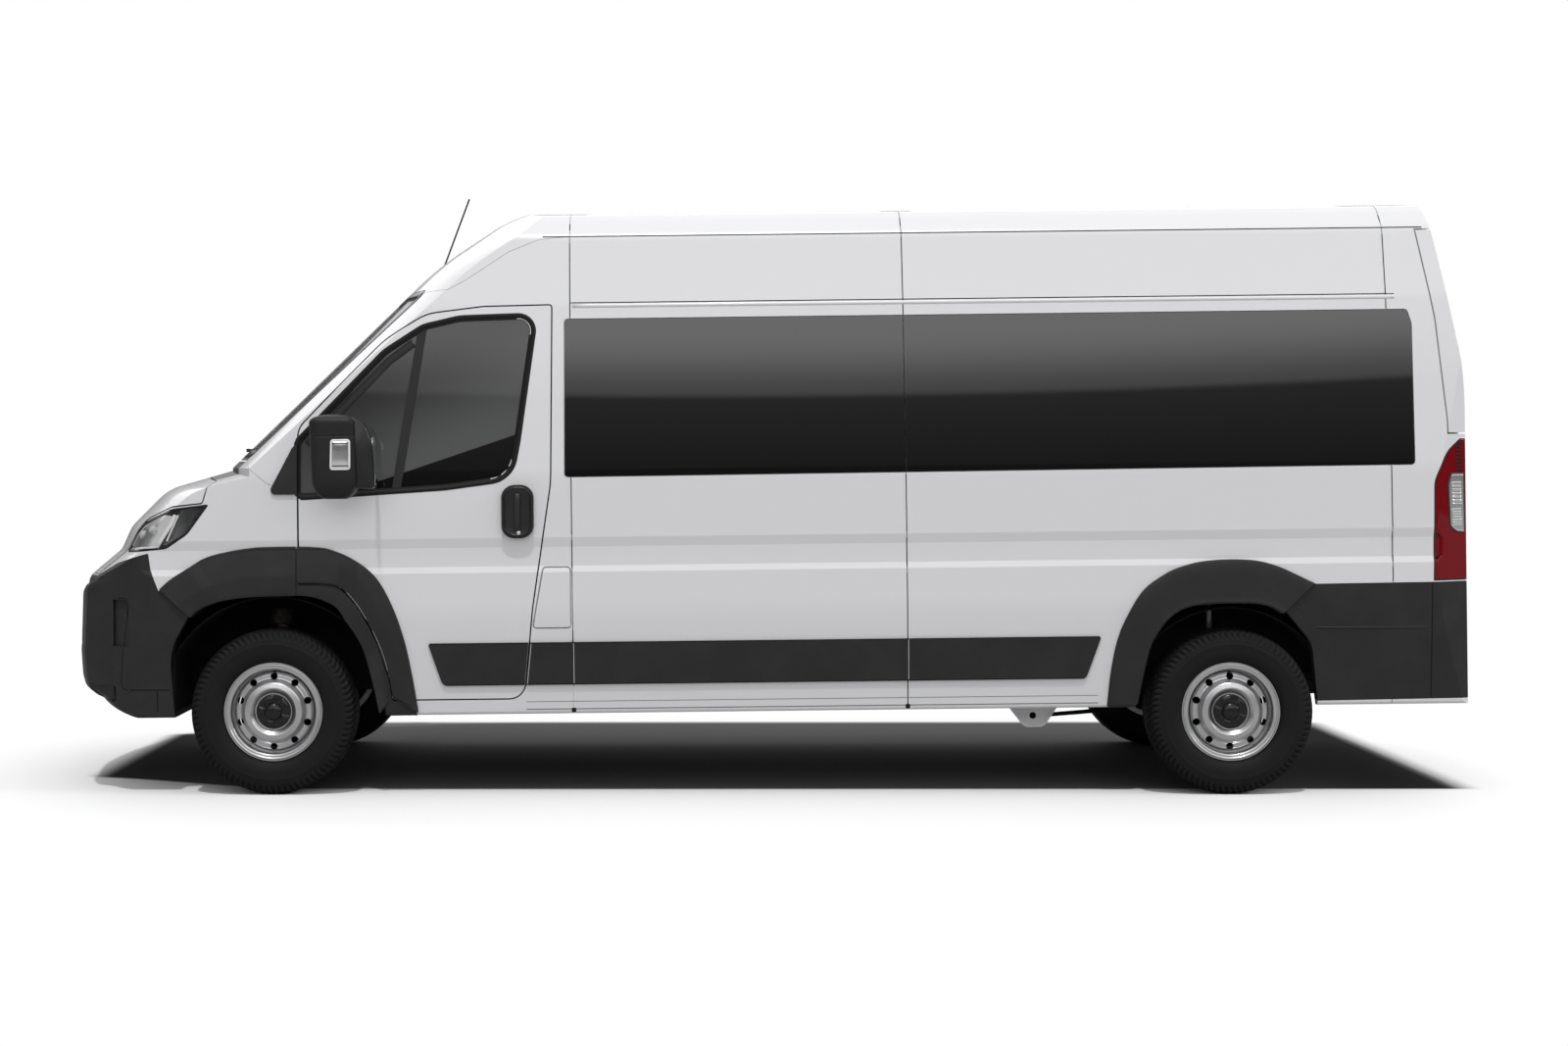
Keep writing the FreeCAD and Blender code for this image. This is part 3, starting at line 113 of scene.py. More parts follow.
# ---- meshes from whole arrays ----
def grid_faces(rows, columns, closed_rows=False, closed_columns=False):
    """Quads that join each point of a rows x columns grid to its neighbours, wrapping if closed."""
    i = np.arange(rows if closed_rows else rows - 1)
    j = np.arange(columns if closed_columns else columns - 1)
    i, j = np.meshgrid(i, j, indexing="ij")
    a, b = (i + 1) % rows, (j + 1) % columns
    return np.stack([i * columns + j, a * columns + j, a * columns + b, i * columns + b], -1).reshape(-1, 4)


def mesh_object(name, points, faces, smooth=True):
    """An object from an (n, 3) array of points and an (m, k) array of faces."""
    mesh = bpy.data.meshes.new(name)
    points = np.ascontiguousarray(np.asarray(points, np.float32).reshape(-1, 3))
    faces = np.asarray(faces, np.int32)
    size = faces.shape[1]
    mesh.vertices.add(len(points))
    mesh.vertices.foreach_set("co", points.ravel())
    mesh.loops.add(faces.size)
    mesh.loops.foreach_set("vertex_index", faces.ravel())
    mesh.polygons.add(len(faces))
    mesh.polygons.foreach_set("loop_start", np.arange(0, faces.size, size, dtype=np.int32))
    mesh.polygons.foreach_set("use_smooth", np.full(len(faces), smooth))
    mesh.update(calc_edges=True)
    mesh.validate()
    thing = bpy.data.objects.new(name, mesh)
    bpy.context.scene.collection.objects.link(thing)
    return thing


def outward(points, faces):
    """The faces of a closed shape, turned over if they face inwards: the volume they enclose decides."""
    corner = points.reshape(-1, 3)[faces]
    a, b, c, d = (corner[:, k] for k in range(4))
    volume = (a * np.cross(b, c)).sum() + (a * np.cross(c, d)).sum()
    return faces if volume > 0 else faces[:, ::-1]


def capped(grid):
    """A grid whose first and last rows are each drawn together to their middle."""
    return np.concatenate([np.broadcast_to(grid[:1].mean(1, keepdims=True), grid[:1].shape), grid,
                           np.broadcast_to(grid[-1:].mean(1, keepdims=True), grid[-1:].shape)])


def closed_shapes(name, grids, body, material, smooth=True, rings=False):
    """One object of several closed shapes, each a (rows, columns, 3) grid whose columns close.

    A ring's rows close too; the rows of any other shape are capped.
    """
    points, faces, first = [], [], 0
    for grid in grids:
        grid = np.asarray(grid, float) if rings else capped(np.asarray(grid, float))
        rows, columns = grid.shape[:2]
        quads = outward(grid, grid_faces(rows, columns, rings, True))
        points.append(grid.reshape(-1, 3))
        faces.append(quads + first)
        first += rows * columns
    thing = mesh_object(name, np.concatenate(points), np.concatenate(faces), smooth)
    return settle(thing, body, MATERIALS[material])


def mirrored(grids):
    """The shapes reflected in the vehicle's middle plane."""
    return [np.asarray(grid) * (-1, 1, 1) for grid in grids]


def on_both(part, grids, body, material, edge=None, rings=False):
    """A piece on the left side and its reflection on the right; body "door" means each side's cab door.

    Where an edge angle is given, the shading breaks at edges sharper than it.
    """
    made = []
    for side, sign, door in SIDES:
        turned = grids if sign > 0 else mirrored(grids)
        body_here = door if body == "door" else body
        thing = closed_shapes("%s_%s" % (side, part), turned, body_here, material, rings=rings)
        made.append(sharpened(thing, edge) if edge else thing)
    return made


def sharpened(thing, angle=35.0):
    """Smooth shading that breaks at edges sharper than the angle."""
    thing.data.set_sharp_from_angle(angle=math.radians(angle))
    return thing


# ---- outlines and the skins they are laid on ----
def spaced(path, step, closed=False):
    """Points at equal steps along a polyline."""
    path = np.asarray(path, float)
    if closed:
        path = np.concatenate([path, path[:1]])
    run = np.concatenate([[0.0], np.cumsum(np.linalg.norm(np.diff(path, axis=0), axis=1))])
    count = max(2, int(math.ceil(run[-1] / step)))
    at = np.linspace(0.0, run[-1], count + 1)[:count if closed else count + 1]
    return np.stack([np.interp(at, run, path[:, k]) for k in range(path.shape[1])], -1)


def outline(corners, step=0.012, closed=True):
    """Equally spaced points, in metres, round an outline of (a, b, radius) corners in millimetres.

    Each corner is an exact arc, written as a weighted quadratic curve between its tangent points.
    """
    corners = np.asarray(corners, float) / 1000.0
    p, radius = corners[:, :2], corners[:, 2].copy()
    before, after = np.roll(p, 1, 0) - p, np.roll(p, -1, 0) - p
    before /= np.linalg.norm(before, axis=1, keepdims=True)
    after /= np.linalg.norm(after, axis=1, keepdims=True)
    half = np.arccos(np.clip((before * after).sum(1), -1, 1)) / 2
    if not closed:
        radius[[0, -1]] = 0.0
    reach = (radius / np.tan(half))[:, None]
    s = np.linspace(0, 1, 9)[None, :, None]
    w = np.sin(half)[:, None, None]
    a, b, mid = (p + before * reach)[:, None], (p + after * reach)[:, None], p[:, None]
    weights = (1 - s) ** 2, 2 * s * (1 - s) * w, s ** 2
    arcs = (weights[0] * a + weights[1] * mid + weights[2] * b) / sum(weights)
    return spaced(arcs.reshape(-1, 2), step, closed)


def smooth_curve(knots_mm, step=0.008):
    """A smooth open curve through flat points: between two of them it is the cubic whose slope at each
    is that of the line between its neighbours (Catmull and Rom's rule), at nearly equal steps.
    """
    p = np.asarray(knots_mm, float) / 1000.0
    p = np.concatenate([2 * p[:1] - p[1:2], p, 2 * p[-1:] - p[-2:-1]])
    t = np.linspace(0, 1, 24, endpoint=False)[None, :, None]
    a, b, c, d = (p[k:len(p) - 3 + k, None] for k in range(4))
    run = 0.5 * (2 * b + (c - a) * t + (2 * a - 5 * b + 4 * c - d) * t ** 2 + (3 * b - a - 3 * c + d) * t ** 3)
    return spaced(np.concatenate([run.reshape(-1, 2), p[-2:-1]]), step)


def rectangle(left, low, right, high, radius):
    """Corners of a rectangle from its low left, first along and then up."""
    return [(left, low, radius), (right, low, radius), (right, high, radius), (left, high, radius)]


def clockwise(left, low, right, high, radius):
    """The same corners from the low left, first up and then along."""
    corners = rectangle(left, low, right, high, radius)
    return corners[:1] + corners[:0:-1]


def sideways(path, closed=False):
    """Unit normals, to the left of a flat path."""
    if closed:
        along = np.roll(path, -1, 0) - np.roll(path, 1, 0)
    else:
        along = np.gradient(path, axis=0)
    along /= np.linalg.norm(along, axis=1, keepdims=True)
    return np.stack([-along[:, 1], along[:, 0]], -1)


def pulled(items, key, width, kind=np.float32):
    """An attribute of every item of a mesh, as an array of rows."""
    values = np.empty(len(items) * width, kind)
    items.foreach_get(key, values)
    return values.reshape(-1, width)


def level_triangles(node):
    """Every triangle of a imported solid, turned back out of the rake."""
    mesh = NODES[node].data
    mesh.calc_loop_triangles()
    level = tipped(pulled(mesh.vertices, "co", 3).astype(float) - PIVOT, -RAKE) + PIVOT
    return level[pulled(mesh.loop_triangles, "vertices", 3, np.int32)]


def cross(p, q):
    """The turning product of flat vectors."""
    return p[..., 0] * q[..., 1] - p[..., 1] * q[..., 0]


def skin(nodes, way, flat):
    """Height of the outermost skin of the solids at flat points, seen from a way: an axis and its sign.

    Each triangle that covers a point in the flat view gives its height there and the outermost is
    taken. A point that none covers takes the height between its neighbours in the list.
    """
    axis, sign = way
    flat = np.asarray(flat, float)
    points = flat.reshape(-1, 2)
    triangles = np.concatenate([level_triangles(node) for node in nodes])
    plane, height = triangles[..., [k for k in range(3) if k != axis]], triangles[..., axis] * sign
    near = (plane.max(1) > points.min(0)).all(1) & (plane.min(1) < points.max(0)).all(1)
    near &= (height.max(1) > 0) | (axis > 0) | (sign < 0)
    if not near.any():
        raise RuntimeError("no skin of %s under these points" % ", ".join(nodes))
    plane, height = plane[near], height[near]
    a, ab, ac = plane[:, 0], plane[:, 1] - plane[:, 0], plane[:, 2] - plane[:, 0]
    area = cross(ab, ac)
    broad = np.abs(area) > 1e-9
    a, ab, ac, area, height = a[broad], ab[broad], ac[broad], area[broad], height[broad]
    top = np.full(len(points), -np.inf)
    for part in np.array_split(np.arange(len(points)), 1 + len(points) * len(a) // 3000000):
        q = points[part][:, None] - a[None]
        v, w = cross(q, ac) / area, cross(ab, q) / area
        covers = (v > -1e-4) & (w > -1e-4) & (v + w < 1.0001)
        there = height[:, 0] + v * (height[:, 1] - height[:, 0]) + w * (height[:, 2] - height[:, 0])
        top[part] = np.where(covers, there, -np.inf).max(1)
    bare = ~np.isfinite(top)
    if bare.all():
        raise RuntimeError("no skin of %s under these points" % ", ".join(nodes))
    order = np.arange(len(top))
    top[bare] = np.interp(order[bare], order[~bare], top[~bare])
    return (top * sign).reshape(flat.shape[:-1])


def laid(nodes, way, flat, proud):
    """Points of a flat drawing set on the outermost skin, standing proud of it by so much."""
    parts = [flat[..., 0], flat[..., 1]]
    parts.insert(way[0], skin(nodes, way, flat) + way[1] * np.asarray(proud))
    return raked(joined(*parts))


def band(nodes, way, path, section, closed=False):
    """A moulding along a flat path on a skin: section is a closed list of (aside, proud) in millimetres."""
    aside, proud = np.asarray(section, float).T / 1000.0
    flat = path[:, None] + sideways(path, closed)[:, None] * aside[None, :, None]
    return laid(nodes, way, flat, proud[None, :])


def bead(width, proud, sunk=2.0):
    """Section of a flat strip with eased edges."""
    w = width / 2
    return [(-w, -sunk), (-w, proud * 0.4), (-w * 0.8, proud), (w * 0.8, proud), (w, proud * 0.4), (w, -sunk)]


def reach_across(corners, count):
    """For equally spaced first coordinates of an outline, its lowest and highest second coordinate."""
    ring = outline(corners, 0.004)
    a, b = ring, np.roll(ring, -1, 0)
    edge = 0.0005
    at = np.linspace(ring[:, 0].min() + edge, ring[:, 0].max() - edge, count)
    rise = np.where(np.abs(b[:, 0] - a[:, 0]) < 1e-9, 1e-9, b[:, 0] - a[:, 0])
    t = (at[:, None] - a[None, :, 0]) / rise[None]
    height = a[None, :, 1] + t * (b[:, 1] - a[:, 1])[None]
    meets = (t >= 0) & (t <= 1)
    return at, np.where(meets, height, np.inf).min(1), np.where(meets, height, -np.inf).max(1)


def plate(nodes, way, corners, proud, thick=0.003, across=40, up=16):
    """A shaped plate that fills an outline on a skin.

    Its height in metres is the number proud, or proud(a, b, u, v) at the point (a, b), with u and v
    running from 0 to 1 across and up.
    """
    at, low, high = reach_across(corners, across)
    v = np.linspace(0.0, 1.0, up)[None, :]
    u = np.linspace(0.0, 1.0, across)[:, None] + v * 0
    b = low[:, None] + (high - low)[:, None] * v
    a = at[:, None] + v * 0
    rise = proud(a, b, u, v + u * 0) if callable(proud) else proud
    height = np.broadcast_to(rise, a.shape)
    flat = np.stack([a, b], -1)
    return two_faced(laid(nodes, way, flat, height), laid(nodes, way, flat, height - thick))


def between(nodes, way, first, second, proud, thick=0.003, count=120, across=14):
    """A shaped strip between two flat paths: proud(s, t) is its height at s along and t across."""
    s = np.linspace(0.0, 1.0, count)
    runs = [np.interp(s, np.linspace(0, 1, len(path)), path[:, k]) for path in (first, second) for k in (0, 1)]
    a, b = np.stack(runs[:2], -1), np.stack(runs[2:], -1)
    t = np.linspace(0.0, 1.0, across)
    flat = a[:, None] * (1 - t)[None, :, None] + b[:, None] * t[None, :, None]
    height = np.broadcast_to(proud(s[:, None], t[None, :]), flat.shape[:2])
    return two_faced(laid(nodes, way, flat, height), laid(nodes, way, flat, height - thick))


def lathe(profile, around=64, centre=(0.0, 0.0, 0.0), wave=None):
    """A section of (x, radius) in millimetres turned about a line along X through centre.

    wave(angle, radius, x) may change the x of each point.
    """
    x, r = (np.asarray(profile, float).T / 1000.0)[:, :, None]
    a = circle(around)[None]
    out = x + (wave(a, r, x) if wave else 0.0) + 0 * a
    return np.stack([out, r * np.cos(a), r * np.sin(a)], -1) + centre


def pipe(path, radius, sides=10, up=(0.0, 0.0, 1.0), closed=False):
    """A round tube along a path in space."""
    path = np.asarray(path, float)
    along = np.roll(path, -1, 0) - np.roll(path, 1, 0) if closed else np.gradient(path, axis=0)
    along /= np.linalg.norm(along, axis=1, keepdims=True)
    aside = np.cross(along, np.asarray(up, float))
    aside /= np.linalg.norm(aside, axis=1, keepdims=True)
    over = np.cross(aside, along)
    a = circle(sides)[None, :, None]
    return path[:, None] + radius * (np.cos(a) * aside[:, None] + np.sin(a) * over[:, None])


def rounded_block(low, high, ease=0.25, rows=18, columns=36):
    """A box with rounded edges and crowned faces: a superellipsoid of the given ease."""
    low, high = np.asarray(low, float), np.asarray(high, float)
    lat = np.linspace(-np.pi / 2, np.pi / 2, rows)[:, None]
    lon = circle(columns)[None]

    level = power(np.cos(lat), ease)
    unit = joined(level * power(np.cos(lon), ease), level * power(np.sin(lon), ease), power(np.sin(lat), ease))
    return (low + high) / 2 + unit * (high - low) / 2


def settle(thing, body, material):
    """Give a finished piece its material and let it ride on its body."""
    thing.data.materials.clear()
    thing.data.materials.append(material)
    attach(thing, body)
    return thing


# ---- shader maths ----
class Wire:
    """A shader socket that can be added, multiplied and compared like a number."""

    def __init__(self, graph, socket):
        self.graph = graph
        self.socket = socket

    def maths(self, operation, *values):
        """One maths node of the values."""
        return self.graph.node("ShaderNodeMath", {"operation": operation}, values)

    def __add__(self, other):
        return self.maths("ADD", self, other)

    __radd__ = __add__

    def __mul__(self, other):
        return self.maths("MULTIPLY", self, other)

    __rmul__ = __mul__

    def __sub__(self, other):
        return self.maths("SUBTRACT", self, other)

    def __rsub__(self, other):
        return self.maths("SUBTRACT", other, self)

    def __truediv__(self, other):
        return self.maths("DIVIDE", self, other)

    def __rtruediv__(self, other):
        return self.maths("DIVIDE", other, self)

    def __pow__(self, other):
        return self.maths("POWER", self, other)

    def __gt__(self, other):
        return self.maths("GREATER_THAN", self, other)

    def __lt__(self, other):
        return self.maths("LESS_THAN", self, other)

    def step(self, low, high):
        """0 below low, 1 above high, and smooth between them."""
        settings = {"interpolation_type": "SMOOTHSTEP"}
        return self.graph.node("ShaderNodeMapRange", settings, {0: self, 1: low, 2: high, 3: 0.0, 4: 1.0})


class Graph:
    """The nodes of one material."""

    def __init__(self, tree):
        self.tree = tree

    def node(self, kind, settings=None, values=(), out=0):
        """A node of a kind, its settings first, then the values or links of its sockets."""
        made = self.tree.nodes.new(kind)
        for key, value in (settings or {}).items():
            if key == "stops":
                ramp = made.color_ramp.elements
                while len(ramp) < len(value):
                    ramp.new(0.5)
                for element, (position, colour) in zip(ramp, value):
                    element.position = position
                    element.color = (*colour, 1.0)
            else:
                setattr(made, key, value)
        pairs = values.items() if isinstance(values, dict) else enumerate(values)
        for key, value in pairs:
            if isinstance(value, Wire):
                self.tree.links.new(value.socket, made.inputs[key])
            else:
                made.inputs[key].default_value = value
        return Wire(self, made.outputs[out])

    def place(self, scale=(1.0, 1.0, 1.0)):
        """Object coordinates, stretched."""
        where = self.node("ShaderNodeTexCoord", out="Object")
        return self.node("ShaderNodeMapping", None, {"Vector": where, "Scale": scale})

    def axis(self, name):
        """One of the object coordinates as a number."""
        return self.node("ShaderNodeSeparateXYZ", None, [self.node("ShaderNodeTexCoord", out="Object")], name)

    def noise(self, scale, detail=3.0, roughness=0.5):
        """A cloud from 0 to 1 in object coordinates."""
        values = {"Vector": self.place(), "Scale": scale, "Detail": detail, "Roughness": roughness}
        return self.node("ShaderNodeTexNoise", None, values)

    def cells(self, scale):
        """Distances to the nearest of scattered points."""
        return self.node("ShaderNodeTexVoronoi", None, {"Vector": self.place(), "Scale": scale})

    def blend(self, factor, low, high):
        """Colour low where the factor is 0 and colour high where it is 1."""
        low, high = ((*c, 1.0) if isinstance(c, tuple) and len(c) == 3 else c for c in (low, high))
        settings = {"data_type": "RGBA", "clamp_factor": True}
        return self.node("ShaderNodeMix", settings, {0: factor, 6: low, 7: high}, out=2)

    def bump(self, height, depth):
        """Relief in metres from a height of 0 to 1."""
        return self.node("ShaderNodeBump", None, {"Height": height, "Distance": depth, "Strength": 1.0})


def finish(name, colour, roughness, vary=None, **constants):
    """A material: constants on the shader's own sockets, and what varies linked by vary(graph)."""
    material = bpy.data.materials.new(name)
    material.use_nodes = True
    shader = material.node_tree.nodes["Principled BSDF"]
    shader.inputs["Base Color"].default_value = (*colour, 1.0)
    shader.inputs["Roughness"].default_value = roughness
    for key, value in constants.items():
        shader.inputs[key.replace("_", " ").title().replace("Ior", "IOR")].default_value = value
    for key, wire in (vary(Graph(material.node_tree)) if vary else {}).items():
        material.node_tree.links.new(wire.socket, shader.inputs[key])
    return material


# ---- materials ----
# Painted reflection along the lamp bowl, bright and dark bands: y, brightness
PAINTED_BOWL_REFLECTION = ((-2.672, 0.85), (-2.640, 0.22), (-2.600, 0.10), (-2.565, 0.25), (-2.540, 0.8))


def toned(colour, factor):
    """A colour made darker or paler by a factor."""
    return tuple(c * factor for c in colour)


def paint(name, colour, dust=0.04):
    """Gloss paint under lacquer: a faint orange peel, and road film gathering low on the body."""
    def vary(g):
        peel = g.noise(260.0, 2.0)
        low = 1.0 - g.axis("Z").step(0.3, 0.75)
        cloud = g.noise(2.2, 5.0, 0.6)
        film = low * cloud * dust * 6.0 + cloud * dust * 0.5
        return {
            "Base Color": g.blend(film, colour, toned(colour, 0.8)),
            "Roughness": film * 0.5 + 0.28,
            "Normal": g.bump(peel, 0.00004),
        }
    return finish(name, colour, 0.3, vary, coat_weight=0.6, coat_roughness=0.03)


def grained_plastic(name, colour, roughness=0.55, grain=420.0, depth=0.00025):
    """Moulded plastic with a leather-like grain and patches that have bleached a little."""
    def vary(g):
        cell = g.cells(grain)
        cloud = g.noise(5.0, 4.0, 0.6)
        return {
            "Base Color": g.blend(cloud.step(0.35, 0.75), colour, toned(colour, 1.35)),
            "Roughness": cloud * 0.2 + (roughness - 0.1),
            "Normal": g.bump(cell, depth),
        }
    return finish(name, colour, roughness, vary, specular_ior_level=0.3)


def smooth_plastic(name, colour, roughness=0.3):
    """Smooth moulded plastic with faint flow marks."""
    def vary(g):
        flow = g.noise(14.0, 4.0, 0.55)
        return {
            "Roughness": flow * 0.16 + (roughness - 0.08),
            "Base Color": g.blend(flow, colour, toned(colour, 1.25)),
        }
    return finish(name, colour, roughness, vary)


def shaded_plastic(name, first, last, start, end):
    """Smooth moulded plastic that darkens along the vehicle from start to end: painted shade."""
    def vary(g):
        return {
            "Base Color": g.blend(g.axis("Y").step(start, end), first, last),
            "Roughness": g.noise(30.0, 3.0) * 0.1 + 0.2,
        }
    return finish(name, first, 0.25, vary)


def banded_metal(name, stops):
    """Bright metal with a painted reflection: its tone follows the vehicle's length through the stops, slanted
    back as it rises.
    """
    def vary(g):
        along = g.axis("Y") - g.axis("Z") * 0.42 + 0.46
        # the bands of painted reflection
        tone = grey(stops[0][1])
        for (start, _), (end, value) in zip(stops, stops[1:]):
            tone = g.blend(along.step(start, end), tone, grey(value))
        return {"Base Color": tone, "Roughness": g.noise(40.0, 3.0) * 0.1 + 0.25}
    return finish(name, grey(0.4), 0.3, vary, metallic=0.1)


def banded_glass(name):
    """Door glass with a painted reflection: a pale grey upper part that greys towards a slanted line, and near
    black below it.
    """
    def vary(g):
        # painted reflection: pale grey above the slanted line, fading to the glass's near black below it
        above = g.axis("Z") - g.axis("Y") * 0.341 - 1.8663
        clear = g.blend(above.step(0.0, 0.5), (0.105, 0.107, 0.108), (0.016, 0.016, 0.0165))
        return {
            "Base Color": g.blend(above.step(-0.002, 0.003), grey(0.004), clear),
            "Roughness": g.noise(3.0, 4.0, 0.6) * 0.02 + 0.004,
        }
    return finish(name, grey(0.02), 0.02, vary, alpha=0.97, ior=1.6)


def tinted_glass(name, colour, alpha, ior=1.75):
    """Body glass: dark, glossy and thin, with the faintest haze."""
    def vary(g):
        haze = g.noise(3.0, 4.0, 0.6)
        return {"Roughness": haze * 0.02 + 0.004}
    return finish(name, colour, 0.02, vary, alpha=alpha, ior=ior)


def wheel_paint(name, colour):
    """Silver wheel enamel: fine metal flake, and brake dust in its low places."""
    def vary(g):
        flake = g.cells(900.0)
        dust = g.noise(7.0, 4.0, 0.6).step(0.5, 0.8) * 0.15
        return {
            "Base Color": g.blend(dust, colour, toned(colour, 0.6)),
            "Roughness": dust * 0.3 + flake * 0.05 + 0.27,
            "Normal": g.bump(flake, 0.000004),
        }
    return finish(name, colour, 0.3, vary, metallic=1.0, coat_weight=0.2, coat_roughness=0.1)


def rubber(name, colour):
    """Tyre rubber, slightly bloomed, with dust held in its grain."""
    def vary(g):
        grain = g.noise(700.0, 2.0)
        bloom = g.noise(9.0, 5.0, 0.65).step(0.4, 0.8)
        return {
            "Base Color": g.blend(bloom * 0.5, colour, toned(colour, 2.0)),
            "Roughness": bloom * 0.12 + 0.62,
            "Normal": g.bump(grain, 0.00012),
        }
    return finish(name, colour, 0.7, vary, specular_ior_level=0.2)


def bare_metal(name, colour, roughness=0.45, rust=0.0, dull=1.0):
    """Steel or cast iron, dulled by heat and damp; bright and clean where dull is 0."""
    def vary(g):
        cloud = g.noise(22.0, 6.0, 0.65)
        stain = cloud.step(0.45, 0.75) * (0.4 + rust) * dull
        return {
            "Base Color": g.blend(stain, colour, (0.16, 0.1, 0.065)),
            "Roughness": cloud * (0.3 * dull + 0.03) + max(roughness - 0.1, 0.02),
            "Normal": g.bump(g.noise(300.0, 3.0), 0.0001 * dull + 0.00001),
            "Metallic": 1.0 - stain * 0.8,
        }
    return finish(name, colour, roughness, vary)


def woven(name, colour, thread=900.0):
    """Seat cloth: crossed ribs of thread over a slow change of tone."""
    def vary(g):
        across, along = (g.node("ShaderNodeTexWave", {"bands_direction": way},
                                {"Vector": g.place(), "Scale": thread, "Distortion": 0.6}) for way in "XZ")
        cloud = g.noise(12.0, 4.0)
        return {
            "Base Color": g.blend(across * along * 0.6 + cloud * 0.3, colour, toned(colour, 1.8)),
            "Normal": g.bump(across * 0.5 + along * 0.5, 0.0003),
        }
    return finish(name, colour, 0.9, vary, sheen_weight=0.25)


def slot_materials():
    """One material for each of the record's slots."""
    return {
        "body_paint": paint("white paint", (0.80, 0.80, 0.815)),
        "glass": tinted_glass("privacy glass", (0.0015, 0.0015, 0.0018), 0.985),
        "screen_glass": tinted_glass("windscreen glass", (0.02, 0.025, 0.025), 0.55),
        "dark_plastic": grained_plastic("grey grained plastic", (0.021, 0.0198, 0.0202)),
        "black_plastic": smooth_plastic("black plastic", (0.012, 0.012, 0.013), 0.38),
        "lamp_clear": tinted_glass("clear lens", (0.2, 0.205, 0.21), 0.08),
        "lamp_red": tinted_glass("red lens", (0.20, 0.006, 0.010), 0.92, 1.32),
        "tyre": rubber("tyre rubber", (0.0075, 0.0075, 0.0078)),
        "wheel_silver": wheel_paint("silver wheel enamel", (0.62, 0.62, 0.625)),
        "chassis_black": grained_plastic("chassis black", (0.005, 0.005, 0.0055), 0.75, 200.0),
        "steel": bare_metal("dull steel", (0.32, 0.31, 0.3)),
        "cast": bare_metal("cast iron", (0.035, 0.034, 0.033), 0.65, 0.2),
        "seat_fabric": woven("seat cloth", (0.035, 0.038, 0.045)),
    }


def more_materials():
    """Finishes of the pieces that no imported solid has."""
    return {
        # mid grey: painted shade in the rear seam and along the sill's creases
        "grey_seam_shade": smooth_plastic("painted seam shade", (0.20, 0.20, 0.205), 0.6),
        # pale grey: painted highlights across the side mouldings
        "painted_moulding_highlight": smooth_plastic("painted moulding highlight", (0.42, 0.42, 0.43), 0.5),
        "mirror_shell": grained_plastic("mirror shell", (0.0125, 0.012, 0.012), 0.5, 500.0),
        "mirror_hood": smooth_plastic("mirror hood", grey(0.007), 0.35),
        "door_glass": banded_glass("door glass"),
        # the headlamp reflector, with its painted reflection
        "bowl": banded_metal("lamp bowl", PAINTED_BOWL_REFLECTION),
        # white strips in the headlamps: painted highlights along the reflector's edges
        "painted_lamp_highlight": smooth_plastic("painted reflector highlight", grey(0.78), 0.25),
        # the headlamp's housing, mid grey fading to near black towards the lamp's tail: painted shade
        "lamp_tail_shade": shaded_plastic("lamp housing", (0.16, 0.16, 0.165), grey(0.006), -2.50, -2.40),
        # near black: the lining's own black, made darker still as painted shade inside the wheel arches
        "arch_black_and_shade": grained_plastic("wheel arch lining", (0.0012, 0.0012, 0.0013), 0.9, 160.0),
        # grey: a painted highlight along the door's arch edge
        "door_edge_highlight": smooth_plastic("painted door edge highlight", (0.22, 0.22, 0.225), 0.5),
        "seal": grained_plastic("rubber seal", grey(0.006), 0.6, 600.0, 0.0001),
        # near black: painted shade in gaps, seams, grooves and hollows, and the real black of door seals,
        # bushes and brake cables
        "seam_shade_black": grained_plastic("dark of a seam", grey(0.0025), 0.9, 600.0, 0.0001),
        "gloss_black": smooth_plastic("gloss black", (0.003, 0.003, 0.0032), 0.26),
        "chrome": bare_metal("lamp chrome", (0.78, 0.79, 0.8), 0.12, 0.0, 0.0),
        "pale_chrome": bare_metal("bright lamp trim", grey(0.9), 0.25, 0.0, 0.0),
        "smoke": smooth_plastic("lamp housing", (0.05, 0.05, 0.052), 0.3),
        "lamp_glass": tinted_glass("bulb glass", (0.75, 0.77, 0.8), 0.5),
        "white_plastic": smooth_plastic("white plastic", (0.8, 0.8, 0.81), 0.35),
        "deep_red": smooth_plastic("red reflector", (0.16, 0.004, 0.006), 0.2),
        "silvered": bare_metal("mirror glass", (0.7, 0.72, 0.74), 0.03, 0.0, 0.0),
        "plate_blank": smooth_plastic("blank plate", (0.7, 0.7, 0.68), 0.4),
        "door_card": grained_plastic("door card", (0.03, 0.03, 0.032), 0.6, 300.0),
        "carpet": woven("floor covering", (0.02, 0.02, 0.022), 400.0),
    }


MATERIALS = {}


# ---- what a user would change ----
# Surround: height of the view from level to straight up, tone; then the bank of light at each side
SKY_TONES = ((0.0, 0.02), (0.16, 0.025), (0.24, 0.13), (0.45, 0.24), (1.0, 0.36))
BANK_COLOUR = (0.62, 0.62, 0.63)
SENSOR_MM = 36.0
CAMERA_Y = -0.309
CAMERA_SHIFT = 0.0619, -0.0453
FLOOR_HALF = 60.0
LAMP_HEIGHT = 6.0
# Lamps: name, turn, share of the strength, spread in degrees
LAMPS = (("above", (0.0, 0.40, 0.0), 1.0, 2.0), ("behind", (-1.1, 0.3, 0.0), 0.3, 12.0))


